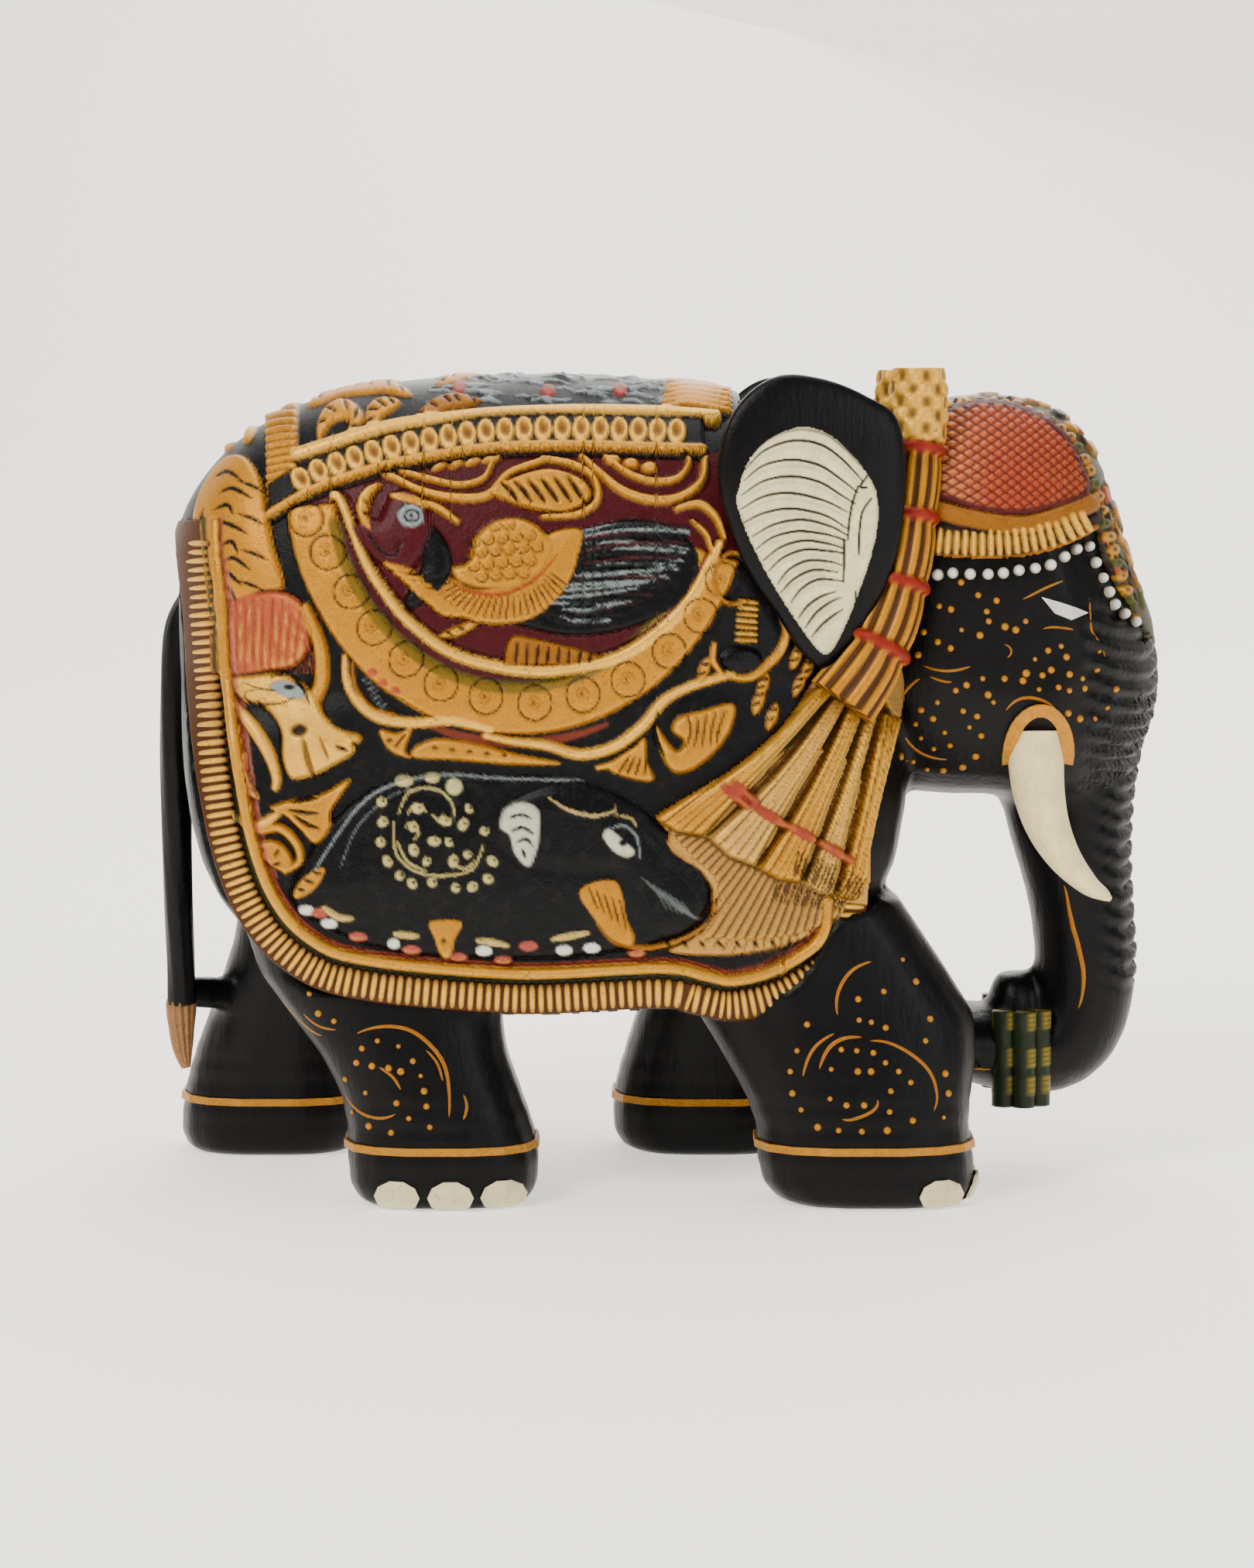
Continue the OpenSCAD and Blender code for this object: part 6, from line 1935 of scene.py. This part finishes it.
class ELEPHANT_OT_tail(bpy.types.Operator):
    """Shapes the long tail and its gold tuft"""

    bl_idname = "elephant.tail"
    bl_label = "Tail"

    def execute(self, context):
        line = bend(TAIL_LINE, 16)
        verts, faces, _ = limb(line[:, :3], line[:, 3], line[:, 4], 36, (0, 1, 0),
                               lambda run, turn: 0.97 + 0.02 * np.cos(8 * turn + 0.2 * run))
        obj = new_object("tail_carved", verts, faces)
        settle(obj, "black_lacquer", "tail", material=finish_of("black_lacquer"))
        line = bend(TUFT_LINE, 14)
        verts, faces, _ = limb(line[:, :3], line[:, 3], line[:, 4], 60, (0, 1, 0),
                               lambda run, turn: 0.94 + 0.08 * np.cos(12 * turn + 0.3 * run))
        obj = new_object("tail_tip_carved", verts, faces)
        settle(obj, "tail_gold", "tail_tip", material=finish_of("tail_gold"))
        return {"FINISHED"}


HIND_SCROLLS = [([[-57.5, 28], [-55, 32], [-50, 33.6], [-45, 33], [-41, 30], [-38.5, 26], [-37.8, 20],
    [-38.2, 15], [-39.4, 12]], 1.1),
    ([[-57.8, 24], [-56, 20], [-53.5, 17.6], [-50, 16.8], [-47, 18], [-46.6, 20]], 0.9),
    ([[-52, 27], [-48, 24.4], [-46, 20.5]], 0.8), ([[-44, 31], [-40, 27], [-38.6, 21]], 0.7),
    ([[-69, 40], [-66, 36], [-62, 32.4], [-58.4, 31.4]], 0.9),
    ([[-66, 38], [-62, 34], [-58, 33], [-55.6, 34]], 0.7), ([[-36, 22.6], [-34.6, 19], [-36, 15]], 0.8)]
HIND_DOTS = [(-53.6, 29.6), (-50.8, 31), (-47, 30), (-44.4, 27.3), (-54.6, 27), (-51.8, 26.4), (-48.8, 26),
    (-46.6, 25.4), (-43, 24.6), (-42.4, 21.8), (-42, 19), (-53, 21.5), (-47.4, 19.6), (-45.2, 16.8),
    (-41.4, 15.2), (-52.4, 15.4), (-48.4, 14.2), (-55.4, 18), (-56.6, 24), (-61.4, 36), (-58.6, 34.6),
    (-63, 39.6)]
FORE_SCROLLS = [([[25.8, 22], [26.4, 26], [28, 29.6], [31, 32], [34, 33.2]], 0.9),
    ([[28.6, 24], [29.4, 27], [31, 30], [34, 31.6], [38.6, 31.6]], 1.1),
    ([[34, 30.4], [40, 31], [45, 29], [49, 25.4], [50.4, 21], [49.6, 17.6], [47.6, 14.6]], 1.0),
    ([[38, 21.6], [39.8, 20], [38.6, 18], [34, 16.4], [31.6, 18]], 0.9),
    ([[33.6, 33.4], [32.2, 36], [32.4, 40], [34.6, 43.6], [38, 45.4], [41, 45.4]], 1.0)]
FORE_DOTS = [(25, 29.2), (23.8, 25.4), (24.2, 21.4), (25.8, 18.4), (28.8, 15.2), (32.6, 14.6), (36.8, 14.4),
    (41.4, 14.6), (31.2, 25.8), (33, 29.4), (35.8, 29.2), (38.8, 28.8), (36, 25.4), (38.4, 25.4), (41, 27),
    (43.4, 25.4), (45.6, 23.4), (42, 21.8), (41.8, 18), (46, 16.4), (51.8, 25), (52.4, 21.4), (51.6, 17),
    (34, 19.2), (37.2, 19.2), (31, 20.4), (40.6, 40), (36, 38.6), (38.4, 34.4), (36.2, 34.8), (41, 33.4),
    (49, 35), (48.2, 31), (26.8, 34), (44, 45.8), (46.4, 41.8)]
CHEEK_SCROLLS = [([[69, 103], [72, 104.5], [77, 104], [79, 102.8]], 0.7),
    ([[44.6, 88], [45, 91.6], [47.6, 94.6], [50, 95.6]], 0.9),
    ([[44.8, 87], [46, 83.6], [49, 81], [53, 80], [56, 80.6]], 0.9),
    ([[46.6, 98.6], [50, 97], [53.4, 96.4], [57, 97], [60, 98.6]], 0.8),
    ([[48.6, 96], [53, 94.4], [56, 94.6]], 0.7),
    ([[62.4, 100], [63.2, 101.3], [64.6, 101.2], [65.4, 100], [64.6, 98.8], [63.2, 98.8], [62.6, 99.6]],
    0.6), ([[62.5, 86], [65, 90], [68, 91.5], [72, 90.5], [75, 87], [76, 83]], 0.9),
    ([[64, 108.3], [68, 110], [72, 112], [78.6, 114.6]], 0.7),
    ([[78.8, 114], [79.6, 109], [80, 104], [82, 101], [83, 97]], 0.7),
    ([[74, 59.6], [75.6, 56], [76.8, 50], [78.2, 45], [79.2, 40], [78.8, 35], [77, 30.4]], 1.3),
    ([[58.8, 22], [63.4, 22]], 0.6), ([[58, 14], [62, 14.8]], 0.6)]
CHEEK_DOTS = [(51.8, 108.4), (54, 107.8), (60.6, 107.4), (59, 110.4), (62.4, 109.4), (55.8, 112.8),
    (66, 104), (64, 104.6), (56, 104), (59.4, 103), (49, 103.6), (51.6, 101.8), (54, 100.6), (61, 105.6),
    (67.8, 105.6), (72, 100.2), (74.4, 101), (75.4, 99), (81.4, 100), (69.6, 98.6), (48, 99.4), (68, 96),
    (64, 95), (67.4, 94.6), (60, 95), (57, 93.8), (55, 92.8), (61, 92), (62, 90.6), (51.6, 90.6),
    (48.6, 89.2), (50.8, 87.6), (47.6, 86.6), (53, 85), (48.6, 84), (54, 82.6), (51, 82), (57.6, 86),
    (59.8, 84.4), (56.4, 89), (59, 88), (45, 80.6), (47.2, 79.6), (49.8, 78.2), (52.8, 78), (56.4, 78.6),
    (58.8, 80.6), (71, 95.6), (72.6, 96.6), (76, 95.8), (78.4, 95), (81, 96.6), (70.4, 93), (74, 93.4),
    (76, 92.8), (78.8, 93.2), (84.6, 93), (83, 89.6), (75.8, 88.6), (78, 87.6), (80.8, 87.6)]


class ELEPHANT_OT_scrolls(bpy.types.Operator):
    """Paints the gold scrolls and dots on the legs, the cheeks and the trunk"""

    bl_idname = "elephant.scrolls"
    bl_label = "Painted scrolls"

    def execute(self, context):
        tree = body_tree()
        shape = lozenge("dot_pattern", DEEP_GOLD, GOLD, 2.0, 6, 12)
        for title, lines, dots, plane, shift in (("hind_leg", HIND_SCROLLS, HIND_DOTS, -37, -35),
                ("fore_leg", FORE_SCROLLS, FORE_DOTS, -37, -29), ("cheek", CHEEK_SCROLLS, CHEEK_DOTS, -15,
                0)):
            for side in (RIGHT, LEFT):
                name = SIDE_NAMES[side]
                moved = shift if side == LEFT else 0
                strokes = [ribbon(tree, bend(line, 6), width, plane, side, moved) for line, width in lines]
                for k, (u, v) in enumerate(dots):
                    start = 137 * k + 40
                    way = math.radians(start + 200)
                    hook = arc(u + 1.25 * math.cos(way), v + 1.25 * math.sin(way), 1.3, 1.3,
                               start, start + 150 + 30 * (k % 3), 8)
                    strokes.append(ribbon(tree, hook, 0.42, plane, side, moved, 0.2))
                verts, faces = merge(strokes)
                tone = np.tile(np.array(DEEP_GOLD) * 1.25, (len(verts), 1))
                obj = new_object(f"{title}_{name}_scrolls", verts, faces, tone, np.full(len(verts), 0.36))
                settle(obj, "anklet_gold", material=finish_of("painted_relief"))
                spots = []
                frames = []
                scales = []
                rng = np.random.default_rng(len(dots))
                for u, v in dots:
                    hit, normal = cast(tree, u, v, plane, side, moved)
                    if hit is None:
                        continue
                    along = normal.cross(normal.cross(Vector((0, 0, 1))).normalized())
                    spots.append(tuple(hit))
                    frames.append((along.cross(normal), along, normal))
                    scales.append(float(rng.uniform(0.8, 1.3)))
                size = sizes().dot_size
                obj = set_in_rows(f"{title}_{name}_dots", spots, frames, shape, size, size, 0.38,
                                  finish_of("painted_relief"), 0.1, 7, scales)
                settle(obj, "anklet_gold")
        bpy.data.objects.remove(shape)
        return {"FINISHED"}


def cane_swell(run, turn):
    """Bound canes: slightly drawn in between their bands."""
    return 0.96 + 0.04 * cane_band(run) + 0.012 * np.cos(9 * turn)


def cane_band(run):
    return sum(smooth((1.9 - np.abs(run - at)) / 0.3) for at in (4.2, 9.4, 16.4))


def cane_paint(run, turn):
    share = (np.clip(cane_band(run), 0, 1) * smooth(0.5 + np.cos(2 * turn + 1.0)))[..., None]
    line = smooth((np.cos(14 * run) - 0.2) * 2)[..., None]
    tone = np.array((0.012, 0.018, 0.008)) * (1 - share) + np.array((0.19, 0.14, 0.012)) * share
    return tone * (1 - 0.55 * line * share)


class ELEPHANT_OT_small_parts(bpy.types.Operator):
    """Gives the anklets, toenails, eyes and canes their paint"""

    bl_idname = "elephant.small_parts"
    bl_label = "Small parts"

    def execute(self, context):
        pieces = []
        for side in (RIGHT, LEFT):
            for x, y in ((68.6, 11.5), (65.0, 10.4), (71.6, 9.4)):
                line = np.stack([np.full(60, x), np.full(60, side * y), np.linspace(14.4, 32.4, 60)], 1)
                pieces.append((limb(line, np.full(60, 2.3), np.full(60, 2.3), 28, (0, 1, 0), cane_swell,
                    cane_paint), x))
        verts, faces = merge([piece for piece, _ in pieces])
        obj = new_object("cane_bundle_bound", verts, faces, np.vstack([piece[2] for piece, _ in pieces]),
                         np.full(len(verts), 0.32))
        settle(obj, "cane_green", "cane_bundle", material=finish_of("painted_relief"))
        for node, paint in (("anklets", "worn_gold"), ("toenails", "nail_cream"),
                ("eye_right", "pearl_white"), ("eye_left", "pearl_white")):
            mesh = NODES[node].data
            mesh.materials.clear()
            mesh.materials.append(finish_of(paint))
        return {"FINISHED"}


class ELEPHANT_OT_stage(bpy.types.Operator):
    """Lays the paper floor and backdrop, and places the lights and the camera"""

    bl_idname = "elephant.stage"
    bl_label = "Stage"

    def execute(self, context):
        scene = bpy.context.scene
        paper = bend([[-5000, 0], [-900, 0], [200, 0], [700, 0], [1000, 60], [1180, 300], [1240, 800],
            [1250, 1900]], 12)
        verts = [(x, y, z) for x in (-6000, 6000) for y, z in paper]
        n = len(paper)
        faces = [[k, n + k, n + k + 1, k + 1] for k in range(n - 1)]
        floor = new_object("paper_floor", verts, faces)
        floor.data.materials.append(pale_floor("paper_floor", tuple(colours().floor)))
        world = bpy.data.worlds.new("studio")
        scene.world = world
        world.use_nodes = True
        back = world.node_tree.nodes["Background"]
        back.inputs[0].default_value = (0.95, 0.97, 1.0, 1.0)
        back.inputs[1].default_value = 0.2
        target = Vector((-0.006, 0, 0.075))
        for name, spot, size, power, tone in (
                ("key", (-0.55, -0.75, 0.85), 0.4, 13.0, (1.0, 0.97, 0.92)),
                ("fill", (0.75, -0.8, 0.45), 0.45, 4.0, (0.95, 0.97, 1.0)),
                ("top", (0.05, 0.1, 1.1), 0.7, 9.0, (1.0, 1.0, 1.0)),
                ("back", (0.2, 0.9, 0.7), 0.9, 8.0, (1.0, 0.99, 0.97))):
            light = bpy.data.lights.new(name, "AREA")
            light.shape = "SQUARE"
            light.size = size
            light.energy = power
            light.color = tone
            lamp = bpy.data.objects.new(name, light)
            lamp.location = spot
            lamp.rotation_euler = (target - Vector(spot)).to_track_quat("-Z", "Y").to_euler()
            scene.collection.objects.link(lamp)
        lens = bpy.data.cameras.new("camera")
        lens.sensor_width = 36
        lens.lens = EYE_DISTANCE / VIEW_HEIGHT * 36
        lens.clip_start = 0.05
        camera = bpy.data.objects.new("camera", lens)
        camera.location = Vector(EYE_POINT) * MM
        aim = Vector(EYE_TARGET) * MM
        camera.rotation_euler = (aim - camera.location).to_track_quat("-Z", "Y").to_euler()
        scene.collection.objects.link(camera)
        scene.camera = camera
        return {"FINISHED"}


OPERATORS = (ELEPHANT_OT_stage, ELEPHANT_OT_body, ELEPHANT_OT_dress, ELEPHANT_OT_fringe, ELEPHANT_OT_head,
    ELEPHANT_OT_ears, ELEPHANT_OT_tassels, ELEPHANT_OT_tusks, ELEPHANT_OT_tail, ELEPHANT_OT_scrolls,
    ELEPHANT_OT_small_parts)


class ELEPHANT_PT_panel(bpy.types.Panel):
    """Lists the steps that build the figure"""

    bl_label = "Elephant"
    bl_idname = "ELEPHANT_PT_panel"
    bl_space_type = "VIEW_3D"
    bl_region_type = "UI"
    bl_category = "Elephant"

    def draw(self, context):
        for group in (context.scene.elephant_sizes, context.scene.elephant_colours):
            for name in group.__annotations__:
                self.layout.prop(group, name)
        for operator in OPERATORS:
            self.layout.operator(operator.bl_idname)


CLASSES = (ElephantSizes, ElephantColours) + OPERATORS + (ELEPHANT_PT_panel,)


def register():
    for cls in CLASSES:
        bpy.utils.register_class(cls)
    bpy.types.Scene.elephant_sizes = bpy.props.PointerProperty(type=ElephantSizes)
    bpy.types.Scene.elephant_colours = bpy.props.PointerProperty(type=ElephantColours)


def unregister():
    del bpy.types.Scene.elephant_colours
    del bpy.types.Scene.elephant_sizes
    for cls in reversed(CLASSES):
        bpy.utils.unregister_class(cls)


def main():
    register()
    for operator in OPERATORS:
        group, name = operator.bl_idname.split(".")
        getattr(getattr(bpy.ops, group), name)()


if __name__ == "__main__":
    main()
